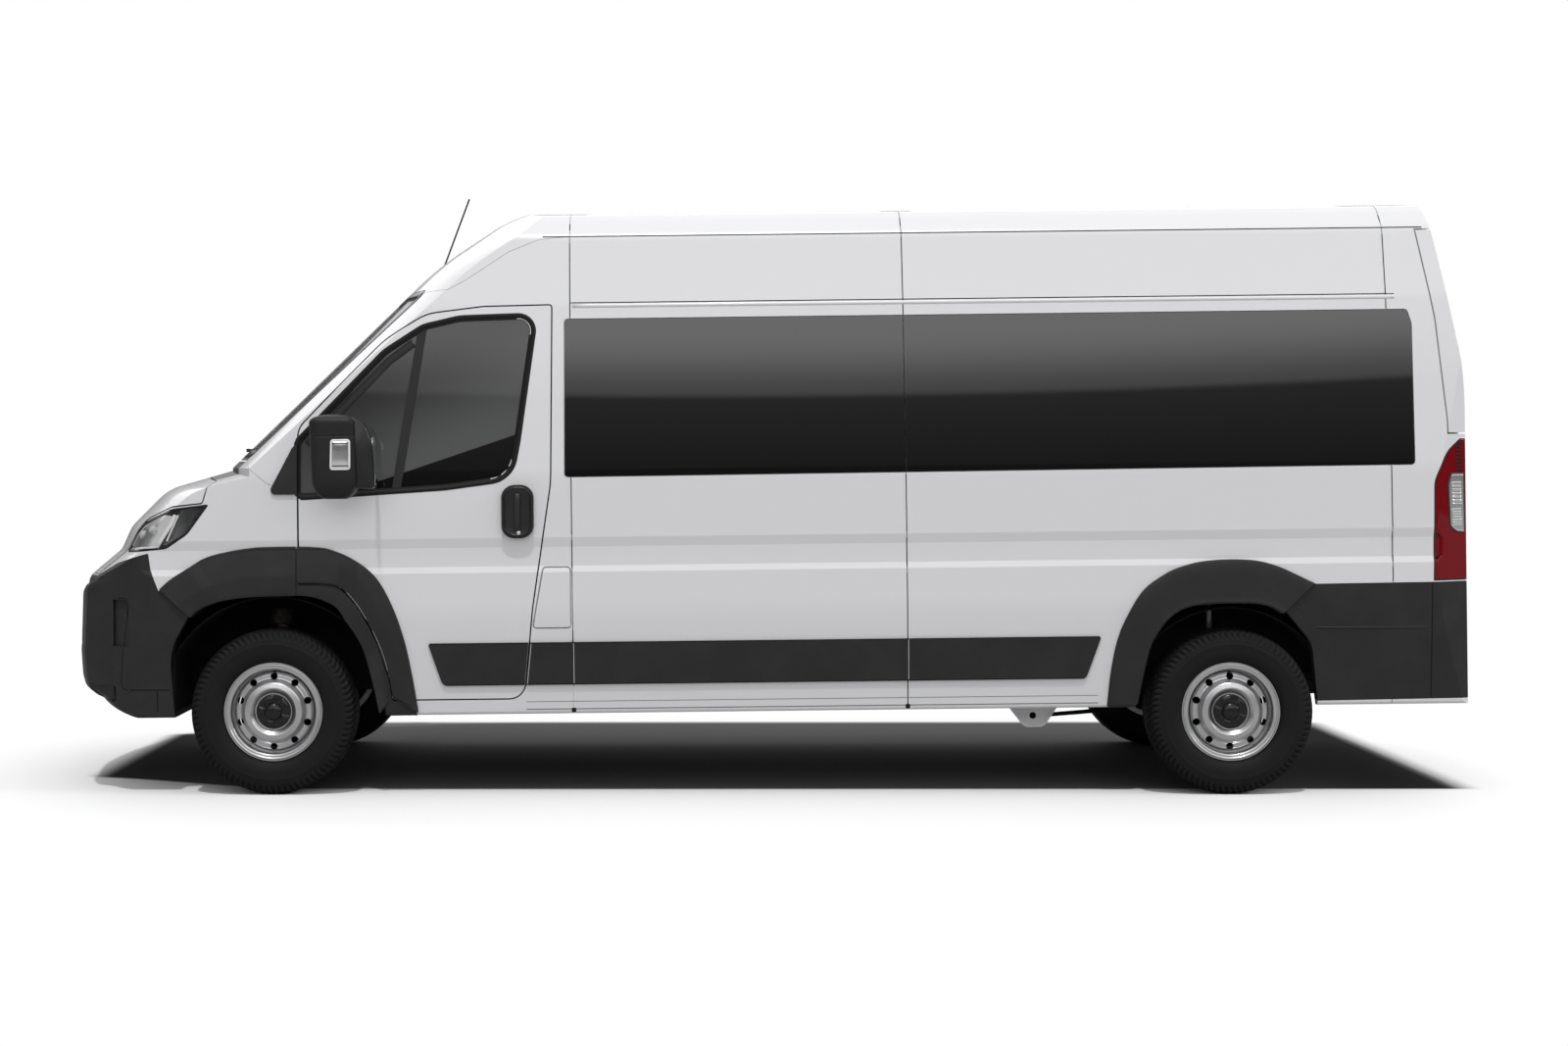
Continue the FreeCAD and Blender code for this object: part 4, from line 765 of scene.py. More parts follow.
class MinibusStage(bpy.types.PropertyGroup):
    distance: bpy.props.FloatProperty(
        name="Camera distance", description="From the vehicle's middle plane to the camera",
        default=11.705, min=4.0, unit="LENGTH")
    height: bpy.props.FloatProperty(
        name="Camera height", description="Height of the camera above the ground", default=1.442,
        min=0.1, unit="LENGTH")
    lens: bpy.props.FloatProperty(
        name="Lens", description="Focal length of the camera in millimetres", default=58.43, min=10.0)
    floor_colour: bpy.props.FloatVectorProperty(
        name="Floor colour", description="Colour of the studio floor as the camera sees it", subtype="COLOR",
        default=grey(0.95), min=0.0, max=1.0)
    floor_bounce: bpy.props.FloatVectorProperty(
        name="Floor bounce", description="Colour of the light that the floor throws back up", subtype="COLOR",
        default=grey(0.42), min=0.0, max=1.0)
    # colour of the shadow painted on the floor below the vehicle
    painted_floor_shadow: bpy.props.FloatVectorProperty(
        name="Floor under it", description="Colour of the floor in the dark below the vehicle", subtype="COLOR",
        default=grey(0.16), min=0.0, max=1.0)
    sky_strength: bpy.props.FloatProperty(
        name="Sky strength", description="Brightness of the studio's surround", default=3.0, min=0.1)
    sun_strength: bpy.props.FloatProperty(
        name="Lamp strength", description="Power of the lamp overhead", default=1.1, min=0.0)


class MINIBUS_OT_stage(bpy.types.Operator):
    """Floor, world, lamps and camera."""
    bl_idname = "minibus.stage"
    bl_label = "Studio"

    def execute(self, context):
        settings = context.scene.minibus_stage
        self.floor(settings)
        self.world(context.scene, settings)
        self.lamps(settings)
        self.camera(context.scene, settings)
        return {"FINISHED"}

    def floor(self, settings):
        """A wide floor that fades into the backdrop: white to the camera, grey to the light it throws back,
        with a shadow painted on it below the vehicle.
        """
        corners = [(x * FLOOR_HALF, y * FLOOR_HALF, 0) for x, y in ((-1, -1), (1, -1), (1, 1), (-1, 1))]
        floor = mesh_object("studio_floor", corners, [(0, 1, 2, 3)], smooth=False)
        material = bpy.data.materials.new("studio floor")
        material.use_nodes = True
        tree = material.node_tree
        g = Graph(tree)
        seen = g.node("ShaderNodeLightPath", out="Is Camera Ray")
        far = g.node("ShaderNodeVectorMath", {"operation": "LENGTH"}, [g.place((0.8, 0.5, 0.0))], "Value")
        across, along = g.axis("X"), g.axis("Y")
        nose = 1.0 - along.step(-3.1, -1.9)
        # where the shadow is painted on the floor: below the vehicle and out past its far side
        under = (1.0 - (across + nose * 0.42).step(0.78, 0.84)) * (across - nose * 0.6).step(-1.94, -1.80)
        under = under * (1.0 - along.step(2.94, 3.12)) * along.step(-3.0, -2.86)
        # the painted shadow is darker still at its front and rear ends
        ends = (1.0 - along.step(-2.9, -2.0)) + along.step(1.9, 2.9)
        shade = g.blend(ends, tuple(settings.painted_floor_shadow), grey(0.040))
        shown = g.blend(under, tuple(settings.floor_colour), shade)
        colour = g.blend(seen, tuple(settings.floor_bounce), shown)
        shader = tree.nodes["Principled BSDF"]
        tree.links.new(colour.socket, shader.inputs["Base Color"])
        shader.inputs["Roughness"].default_value = 0.9
        shader.inputs["Specular IOR Level"].default_value = 0.0
        white = g.node("ShaderNodeEmission", None, {"Color": (1.0, 1.0, 1.0, 1.0), "Strength": 1.0}, "Emission")
        factor = seen * far.step(1.9, 3.2)
        mixed = g.node("ShaderNodeMixShader", None, {0: factor, 1: Wire(g, shader.outputs[0]), 2: white})
        tree.links.new(mixed.socket, tree.nodes["Material Output"].inputs["Surface"])
        floor.data.materials.append(material)

    def world(self, scene, settings):
        """Dim at the horizon and bright overhead, a pale bank of light to each side; white to the camera."""
        scene.world = bpy.data.worlds.new("studio")
        scene.world.use_nodes = True
        tree = scene.world.node_tree
        g = Graph(tree)
        way = g.node("ShaderNodeTexCoord", out="Generated")
        across, ahead, height = (g.node("ShaderNodeSeparateXYZ", None, [way], axis) for axis in "XYZ")
        stops = [(level, grey(tone)) for level, tone in SKY_TONES]
        sky = g.node("ShaderNodeValToRGB", {"stops": stops}, [height])
        rise = height.step(0.199, 0.202) * 0.3 + height.step(0.2, 0.225) * 0.7
        bank = (across * across).step(0.35, 0.75) * rise * (1.0 - height.step(0.35, 0.6))
        front = (1.0 - ahead.step(-0.6, -0.1)) * 0.55
        lit = g.blend(front, g.blend(bank, sky, BANK_COLOUR), grey(0.06))
        seen = g.node("ShaderNodeLightPath", out="Is Camera Ray")
        third = 1.0 / settings.sky_strength
        colour = g.blend(seen, lit, grey(third))
        background = tree.nodes["Background"]
        tree.links.new(colour.socket, background.inputs["Color"])
        background.inputs["Strength"].default_value = settings.sky_strength

    def lamps(self, settings):
        """A high lamp that leans to the left, small enough for a clear shadow, and one from behind."""
        for name, turn, share, spread in LAMPS:
            data = bpy.data.lights.new(name, "SUN")
            data.energy = settings.sun_strength * share
            data.angle = math.radians(spread)
            lamp = bpy.data.objects.new(name, data)
            lamp.rotation_euler = turn
            lamp.location = (0.0, 0.0, LAMP_HEIGHT)
            bpy.context.scene.collection.objects.link(lamp)

    def camera(self, scene, settings):
        """A level camera that looks at the vehicle's left side."""
        data = bpy.data.cameras.new("camera")
        data.sensor_width = SENSOR_MM
        data.lens = settings.lens
        data.shift_x, data.shift_y = CAMERA_SHIFT
        camera = bpy.data.objects.new("camera", data)
        camera.location = (settings.distance, CAMERA_Y, settings.height)
        camera.rotation_euler = (math.pi / 2, 0.0, math.pi / 2)
        scene.collection.objects.link(camera)
        scene.camera = camera
        scene.view_settings.view_transform = "Standard"


OWN_FINISH = {"wheel_liners": "arch_black_and_shade", "driver_door_glass": "door_glass",
              "passenger_door_glass": "door_glass"}


class MINIBUS_OT_finishes(bpy.types.Operator):
    """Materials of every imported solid."""
    bl_idname = "minibus.finishes"
    bl_label = "Finishes"

    def execute(self, context):
        MATERIALS.update(slot_materials())
        MATERIALS.update(more_materials())
        for node, thing in NODES.items():
            thing.data.materials.clear()
            own = OWN_FINISH.get(node, SLOT_OF[node])
            thing.data.materials.append(MATERIALS[own])
        return {"FINISHED"}


# ---- tyres ----
class MinibusWheels(bpy.types.PropertyGroup):
    tread_depth: bpy.props.FloatProperty(
        name="Tread depth", description="Depth of the grooves between the tread blocks", default=0.008,
        min=0.0, max=0.015, unit="LENGTH")


WHEELS = (               # name, side, x of the wheel's middle, y of the axle
    ("front_left", 1, 0.905, -2.051), ("front_right", -1, -0.905, -2.051),
    ("rear_left", 1, 0.895, 1.984), ("rear_right", -1, -0.895, 1.984),
)
TYRE_RADIUS = 0.348
SIPES = 80
RIB_GROOVES = 0.020, 0.054
# Half tyre section from the middle of the tread to the bead: x from the middle, radius
TYRE_HALF = np.array([
    (0.000, 0.3480), (0.016, 0.3480), (0.020, 0.3480), (0.024, 0.3480), (0.040, 0.3476), (0.050, 0.3474),
    (0.054, 0.3472), (0.058, 0.3470), (0.074, 0.3455), (0.088, 0.3425), (0.096, 0.3385), (0.101, 0.3335),
    (0.1045, 0.327), (0.107, 0.318), (0.109, 0.308), (0.1105, 0.297), (0.1115, 0.2885), (0.1125, 0.2865),
    (0.1128, 0.284), (0.1125, 0.2815), (0.1120, 0.279), (0.1120, 0.266), (0.1115, 0.252), (0.1080, 0.236),
    (0.1025, 0.2225), (0.0960, 0.2155), (0.0890, 0.2125), (0.0800, 0.2100), (0.0775, 0.2060),
])


def tyre_surface(depth, around=640):
    """Swept ring: the section turned about X, the tread radius lowered inside its grooves.

    radius(x, a) = section(x) - depth where a rib groove or a slanted sipe of the shoulder runs;
    the sipes repeat SIPES times round the tyre.
    """
    section = np.concatenate([TYRE_HALF[:0:-1] * (-1, 1), TYRE_HALF])
    x, r = section.T[:, :, None]
    a = circle(around)[None, :]
    ribs = sum(np.abs(np.abs(x) - middle) < 0.0021 for middle in RIB_GROOVES) > 0
    lug = np.mod(a * SIPES / (2 * np.pi) + np.abs(x) * 30.0 + 0.5 * (x < 0), 1.0)
    shoulder = (np.abs(x) > 0.060) & (r > 0.316)
    block = (np.abs(x) < 0.050) & (np.abs(x) > 0.018)
    grooved = (shoulder & (lug < 0.34)) | (block & (lug < 0.16)) | ribs
    deep = depth * np.clip((r - 0.312) / 0.02, 0.0, 1.0)
    radius = r - np.where(grooved, deep, 0.0)
    inward = np.where(shoulder & (lug < 0.34), 0.006 * np.clip((r - 0.300) / 0.010, 0.0, 1.0), 0.0)
    return np.stack([x - np.sign(x) * inward, radius * np.cos(a), radius * np.sin(a)], -1)


class MINIBUS_OT_tyres(bpy.types.Operator):
    """Tyres with tread, shoulder sipes and sidewall rings."""
    bl_idname = "minibus.tyres"
    bl_label = "Tyres"

    def execute(self, context):
        surface = tyre_surface(context.scene.minibus_wheels.tread_depth)
        rows, columns = surface.shape[:2]
        faces = grid_faces(rows, columns, closed_columns=True)
        for name, side, x, y in WHEELS:
            points = surface * (side, 1, 1) + (x, y, TYRE_RADIUS)
            tyre = mesh_object(name + "_treaded_tyre", points, faces if side < 0 else faces[:, ::-1])
            settle(tyre, name + "_wheel", MATERIALS["tyre"])
            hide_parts(name + "_tyre")
        return {"FINISHED"}


# ---- wheels ----
# Sections from the middle of the wheel outwards: x, radius, in millimetres
HUB_CAP = [(66, 0), (66, 73), (72, 74), (79, 71), (83, 64), (84, 52), (84, 40), (82, 37), (88, 34), (93, 27),
           (95, 15), (95.5, 0)]
# A near-black ring in the rim's groove: painted shade
RIM_RING = [(50, 182), (64, 183.5), (66, 182), (66, 180), (52, 178.5)]
RIM_LIP = [(83, 203), (86.5, 202), (87.5, 198), (86, 193), (82, 191), (78, 193), (78, 203)]
BRAKE_DISC = [(20, 0), (20, 60), (-2, 64), (-2, 140), (10, 140), (10, 66), (26, 60), (26, 0)]
DUST_SHIELD = [(-22, 0), (-22, 156), (-10, 158), (-10, 154), (-18, 150), (-18, 0)]


class MINIBUS_OT_wheels(bpy.types.Operator):
    """Hub caps, rim rings, a near-black ring of painted shade in each rim's groove, valves and brakes."""
    bl_idname = "minibus.wheels"
    bl_label = "Wheels"

    def execute(self, context):
        stem = [(0.050, 0.0, 0.166), (0.066, 0.0, 0.163), (0.078, 0.0, 0.161)]
        rows = (            # part, shape, slot, material, edge angle, ring
            ("hub_cap", lathe(HUB_CAP, 180, wave=self.lobes), "black_plastic", "gloss_black", 50, False),
            ("rim_groove_shade", lathe(RIM_RING, 96), "black_plastic", "seam_shade_black", None, True),
            ("rim_lip", lathe(RIM_LIP, 96), "wheel_silver", "wheel_silver", None, True),
            ("valve", pipe(stem, 0.0045, up=(0, 1, 0)), "black_plastic", "seal", None, False),
            ("brake_disc", lathe(BRAKE_DISC, 96), "cast", "cast", 35, False),
            ("dust_shield", lathe(DUST_SHIELD, 96), "chassis_black", "chassis_black", None, False),
        )
        for name, side, x, y in WHEELS:
            mount = {"front_left": "left_knuckle", "front_right": "right_knuckle"}.get(name, "body")
            for part, grid, slot, material, edge, ring in rows:
                placed = (grid + (abs(x), 0, 0)) * (side, 1, 1) + (0, y, TYRE_RADIUS)
                body = mount if part == "dust_shield" else name + "_wheel"
                thing = closed_shapes("%s_%s" % (name, part), [placed], body, material, rings=ring)
                if edge:
                    sharpened(thing, edge)
        return {"FINISHED"}

    @staticmethod
    def lobes(angle, radius, x):
        """Five shallow pads stand between five dips on the cap's shoulder: a cosine in the angle that
        fades towards its rim and its middle."""
        shoulder = np.clip((radius - 0.036) / 0.008, 0, 1) * np.clip((0.070 - radius) / 0.008, 0, 1)
        return -0.0055 * shoulder * np.clip(0.5 + 1.6 * np.cos(5 * angle), 0, 1)


# ---- outlines of the body, in millimetres ----
DOOR = [
    (-1937, 884, 8), (-1937, 1540, 90), (-1580, 1912, 300), (-1390, 2022, 200), (-1150, 2050, 200),
    (-858, 2054, 15), (-868, 1300, 500), (-950, 770, 300), (-990, 387, 75), (-1550, 387, 10),
    (-1563, 480, 100), (-1640, 705, 150), (-1765, 882, 110),
]
DOOR_WINDOW = [
    (-1925, 1262, 10), (-1925, 1478, 20), (-1560, 1850, 200), (-1400, 1952, 100),
    (-1250, 1986, 150), (-945, 1994, 50), (-1022, 1470, 300), (-1050, 1330, 100), (-1320, 1296, 300),
]
TRIM_CURVES = {
    "front_outer": [(-2519, 870), (-2470, 912), (-2400, 956), (-2330, 998), (-2240, 1023), (-2123, 1040),
                    (-2030, 1043), (-1945, 1043)],
    "front_inner": [(-2390, 750), (-2360, 778), (-2310, 802), (-2236, 822), (-2113, 834), (-1945, 837)],
    "door_outer": [(-1941, 1043), (-1870, 1040), (-1800, 1029), (-1700, 984), (-1608, 908), (-1540, 784),
                   (-1493, 640), (-1464, 495), (-1440, 338)],
    "door_edge": [(-1937, 884), (-1850, 883), (-1765, 868), (-1700, 806), (-1638, 703), (-1590, 590),
                  (-1563, 480), (-1552, 400)],
    "door_inner": [(-1943, 837), (-1900, 834), (-1848, 822), (-1778, 786), (-1735, 722), (-1700, 670),
                   (-1666, 600), (-1628, 460), (-1602, 338)],
    "rear_outer": [(1462, 334), (1478, 480), (1505, 612), (1545, 710), (1612, 818), (1700, 884), (1770, 916),
                   (1860, 938), (1975, 946), (2090, 939), (2180, 914), (2250, 882), (2332, 842)],
    "rear_inner": [(1590, 338), (1622, 498), (1647, 590), (1692, 668), (1745, 720), (1806, 748), (1880, 758),
                   (1990, 761), (2090, 757), (2150, 742), (2196, 714)],
}
FUEL_FLAP = [(-904, 942, 12), (-795, 942, 12), (-795, 692, 12), (-950, 692, 12)]
# Seams between fixed panels, seen from the side: y, lowest z, highest z
PANEL_SEAMS = ((-785, 560, 1318), (-785, 1996, 2400), (623, 345, 448), (623, 632, 1318), (623, 1996, 2410),
               (2664, 846, 1330), (2664, 1996, 2400))
REAR_EDGE = [(2903, 1466, 0), (2903, 1520, 300), (2866, 1950, 400), (2800, 2334, 0)]
GUTTER_Z = 2.045
ROOF_SEAM_Z = 2.057
ROOF_EDGE_Z = 2.3425
JACK_MARKS = -785, 623
SIDES = (("left", 1, "driver_door"), ("right", -1, "passenger_door"))


class MINIBUS_OT_seams(bpy.types.Operator):
    """Near-black strips in the door gaps, part rubber seal and part painted shade, painted shade in the fixed
    seams, the gutter bead and the roof's edge line.
    """
    bl_idname = "minibus.seams"
    bl_label = "Seams and gutters"

    def execute(self, context):
        panels = ["left_side_panel", "roof_panel", "cab_roof", "cab_frame", "side_windows", "rear_frame",
                  "front_wings", "body_trims"]
        # near black in the door's gap: its rubber seal and painted shade
        door_gap = self.filler(panels + ["driver_door"], outline(DOOR, 0.015), -3.0, 5.6, -1.0, 17, True)
        on_both("door_seal_and_shade", [door_gap], "body", "seam_shade_black", rings=True)
        # near black in the fixed seams: painted shade
        strips = [self.filler(panels, spaced([(y / 1000, low / 1000), (y / 1000, high / 1000)], 0.03))
                  for y, low, high in PANEL_SEAMS]
        strips.append(self.filler(panels, spaced([(-0.780, ROOF_SEAM_Z), (2.700, ROOF_SEAM_Z)], 0.06)))
        # grey in the seam along the rear edge: painted shade
        rear_edge = outline(REAR_EDGE, 0.02, False)
        faint = [self.filler(panels + ["left_rear_door"], rear_edge, -3.0, 5.4, -0.4, 12)]
        # near black in the fuel flap's gap: painted shade
        near_flap = ["fuel_flap", "left_side_panel", "cab_frame"]
        flap = self.filler(near_flap, outline(FUEL_FLAP, 0.008), -2.0, 3.6, 0.4, 8, True)
        closed_shapes("fuel_flap_gap_shade", [flap], "body", "seam_shade_black", rings=True)
        roof_edge = spaced([(-0.90, ROOF_EDGE_Z), (2.835, ROOF_EDGE_Z)], 0.08)
        drip = spaced([(-0.775, GUTTER_Z), (2.700, GUTTER_Z)], 0.06)
        beads = [band(panels, LEFT, drip, [(-9, -2), (-8, 0.6), (-3, 3.5), (3, 3.5), (8, 0.6), (9, -2)])]
        line = [band(panels, LEFT, roof_edge, bead(5, 0.8))]
        for part, grids, slot, material in (
                ("seam_fill", strips, "black_plastic", "seam_shade_black"),
                ("rear_seam_fill", faint, "black_plastic", "grey_seam_shade"),
                ("gutter_bead", beads, "body_paint", "body_paint"),
                ("roof_edge_line", line, "black_plastic", "seal")):
            on_both(part, grids, "body", material)
        return {"FINISHED"}

    @staticmethod
    def filler(panels, path, aside=0.0, width=4.4, proud=0.3, depth=6, closed=False):
        """A dark strip in a seam, as painted shade: its height is the mean of the skin on both sides of it."""
        normal = sideways(path, closed)
        middle = path + normal * aside / 1000
        sides = np.stack([middle - normal * 0.006, middle + normal * 0.006], 1)
        height = skin(panels, LEFT, sides).mean(1)
        across = np.array([-0.5, -0.5, 0.5, 0.5]) * width / 1000
        flat = middle[:, None] + normal[:, None] * across[None, :, None]
        x = height[:, None] + np.array([-depth, proud, proud, -depth])[None] / 1000
        return raked(np.concatenate([x[..., None], flat], -1))


class MINIBUS_OT_doors(bpy.types.Operator):
    """Window seals, handles and locks of the cab doors."""
    bl_idname = "minibus.doors"
    bl_label = "Cab doors"

    def execute(self, context):
        door = ["driver_door", "driver_door_trim", "driver_door_glass"]
        ring = outline(DOOR_WINDOW)
        seal = band(door[:1], LEFT, ring, [(-3, -9), (-3, 1.2), (0, 2.0), (4, 1.4), (5, -9)], True)
        frame_line = band(door, LEFT, ring, [(4, -1), (4, 1.5), (24, 1.5), (26, -1)], True)
        quarter = outline([(-1903, 1480, 0), (-1560, 1832, 200), (-1455, 1908, 0)], 0.012, False)
        trim = band(door, LEFT, quarter, [(-34, -1), (-32, 1.0), (2, 1.2), (2, -1)])
        plate_ring = outline(rectangle(-1066, 1080, -955, 1280, 45), 0.006)
        rim = band(door[1:2], LEFT, plate_ring, [(-2, -3), (-3, 2.0), (0, 3.5), (5, 2.5), (7, -3)], True)
        at = laid(door[1:2], LEFT, np.array([[-1.0105, 1.178]]), 0.004)[0]
        grip = rounded_block((-0.014, -0.013, -0.078), (0.014, 0.013, 0.078), 0.45) + at
        barrel = lathe([(-3, 0), (-3, 9), (3, 9), (4.5, 7.5), (4.5, 3), (3.5, 0)], 32)
        lock = barrel + laid(door[1:2], LEFT, np.array([[-1.006, 1.091]]), 0.001)[0]

        def hollow(a, b, u, v):
            """Nearly flat, and turned up steeply at its edge."""
            return 0.0008 + 0.003 * np.maximum(np.abs(2 * u - 1), np.abs(2 * v - 1)) ** 6

        bowl = plate(door[1:2], LEFT, rectangle(-1070, 1076, -951, 1284, 48), hollow, 0.002, 30, 30)
        for part, grid, slot, material, ring_shaped in (
                ("handle_bowl", bowl, "black_plastic", "mirror_hood", False),
                ("window_seal", seal, "black_plastic", "seal", True),
                ("window_border", frame_line, "black_plastic", "seal", True),
                ("quarter_trim", trim, "dark_plastic", "dark_plastic", False),
                ("handle_rim", rim, "black_plastic", "gloss_black", True),
                ("handle_grip", grip, "black_plastic", "black_plastic", False),
                ("door_lock", lock, "steel", "chrome", False)):
            on_both(part, [grid], "door", material, rings=ring_shaped)
        return {"FINISHED"}


# ---- mirrors ----
MIRROR_X, MIRROR_Y = 1.1595, -1.755           # middle of the head
MIRROR_FOOT, MIRROR_TALL = 1.2425, 0.352
REPEATER = [(-1764, 1366, 9), (-1684, 1366, 9), (-1684, 1488, 9), (-1760, 1488, 9)]
HOOD = [(-1745, 1290, 20), (-1745, 1583, 10), (-1672, 1583, 40), (-1622, 1553, 60), (-1596, 1480, 150),
        (-1586, 1330, 60), (-1590, 1284, 12)]
HOOD_LEVELS = ((1086, 12), (1090, 4), (1098, 0), (1196, 0), (1206, 3), (1212, 10))


class MINIBUS_OT_mirrors(bpy.types.Operator):
    """Heads of the door mirrors with their arms, repeater lamps and reflecting panes."""
    bl_idname = "minibus.mirrors"
    bl_label = "Door mirrors"

    def execute(self, context):
        ring = outline(REPEATER, 0.006)
        aside, proud = np.array([(-3, -3), (-2, 2.5), (3, 3), (5, 2), (5, -3)]).T / 1000
        across = sideways(ring, True)[:, None] * aside[None, :, None]
        frame_ring = self.on_side(ring[:, None] + across, proud[None])
        at, low, high = reach_across(REPEATER, 14)
        v = np.linspace(0, 1, 18)[None]
        u = np.linspace(0, 1, 14)[:, None] + 0 * v
        face = np.stack([at[:, None] + 0 * v, low[:, None] + (high - low)[:, None] * v], -1)
        swell = 0.004 * (1 - (2 * u - 1) ** 4) * (1 - (2 * v - 1) ** 4)
        lens = two_faced(self.on_side(face, swell), self.on_side(face, swell - 0.004))
        bars = []
        for y0, y1, z in ((-1.756, -1.690, 1.381), (-1.754, -1.690, 1.474)):
            line = spaced([(y0, z), (y1, z)], 0.008)
            beads = np.array(bead(5, 6.2, -2.0)) / 1000
            across = sideways(line)[:, None] * beads[None, :, :1]
            bars.append(self.on_side(line[:, None] + across, beads[None, :, 1]))
        house = self.housing()
        shell = self.shell(HOOD, HOOD_LEVELS)
        arms = [raked(rounded_block((0.985, -1.835, low), (1.125, -1.775, high), 0.3, 14, 32))
                for low, high in ((1.310, 1.350), (1.450, 1.485))]
        z = np.linspace(1.300, 1.500, 24)
        half = 0.048 * (1 - np.abs((z - 1.400) / 0.1003) ** 6) ** (1 / 6)
        back = np.interp(z, [1.284, 1.330, 1.480, 1.500], [-1.589, -1.5855, -1.5965, -1.600])
        x = 1.149 + half[:, None] * np.linspace(-1, 1, 20)[None]
        front = joined(x, back[:, None] + 0.0012, z[:, None])
        pane = raked(two_faced(front, front - (0, 0.003, 0)))
        heads = on_both("mirror_housing", [house] + arms, "door", "mirror_shell", 50)
        for head, (side, _, _) in zip(heads, SIDES):
            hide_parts(side + "_mirror")
        for thing in heads + on_both("mirror_hood", [shell], "door", "mirror_hood", 50):
            thing.visible_shadow = False
        on_both("repeater_frame", [frame_ring], "door", "white_plastic", rings=True)
        on_both("repeater_lens", [lens], "door", "pale_chrome")
        on_both("repeater_bars", bars, "door", "gloss_black")
        on_both("mirror_pane", [pane], "door", "silvered")
        return {"FINISHED"}

    @staticmethod
    def on_side(flat, proud):
        """Points on the housing's outer face, which curves as the fifth power of the distance along it."""
        y, z = flat[..., 0], flat[..., 1]
        x = MIRROR_X + 0.0845 * (1 - np.abs(np.clip((y - MIRROR_Y) / 0.0955, -0.99, 0.99)) ** 5) ** 0.2
        return raked(joined(x + proud, y, z))

    @staticmethod
    def housing():
        """The mirror's head: a superellipse in plan at each height, drawn in like a bowl at the foot
        and eased at the top, with a groove where its two mouldings meet.
        """
        w = np.concatenate([np.linspace(0.004, 0.24, 16), np.linspace(0.27, 0.72, 10),
                            [0.733, 0.737, 0.743, 0.747], np.linspace(0.76, 0.9, 6),
                            np.linspace(0.92, 0.998, 10)])
        foot = np.sqrt(1 - (1 - np.clip(w / 0.24, 0, 1)) ** 2)
        head = (1 - np.clip((w - 0.90) / 0.10, 0, 1) ** 2.2) ** 0.45
        groove = np.where(np.abs(w - 0.74) < 0.005, 0.985, 1.0)
        size = ((0.30 + 0.70 * foot) * head * groove)[:, None]
        a = circle(88)[None]
        c, s = np.cos(a), np.sin(a)
        lean = (w[:, None] - 0.5) * -0.012
        x = MIRROR_X + 0.085 * size * power(c, 0.4)
        y = MIRROR_Y + lean + 0.096 * size * power(s, 0.4)
        return raked(joined(x, y, MIRROR_FOOT + MIRROR_TALL * w[:, None]))

    @staticmethod
    def shell(corners, levels):
        """A side outline carried across the vehicle, drawn in at each level by so many millimetres."""
        ring = outline(corners, 0.008)
        normal = sideways(ring, True)
        inward = np.sign(cross(ring, np.roll(ring, -1, 0)).sum())
        rows = [np.concatenate([np.full((len(ring), 1), x / 1000), ring + normal * inward * inset / 1000], 1)
                for x, inset in levels]
        return raked(np.stack(rows))


# ---- lamps ----
HEADLAMP = [
    (-2700, 1020, 8), (-2622, 1152, 60), (-2466, 1208, 100), (-2306, 1226, 6), (-2400, 1098, 120),
    (-2490, 1038, 60),
]
BULBS = ((-2.600, 1.096), (-2.545, 1.118))
TAIL_LAMP_INSET = [(2914, 1075, 20), (2907, 1250, 25), (2922, 1294, 10), (2978, 1294, 2), (2980, 1048, 2),
                   (2944, 1052, 12)]


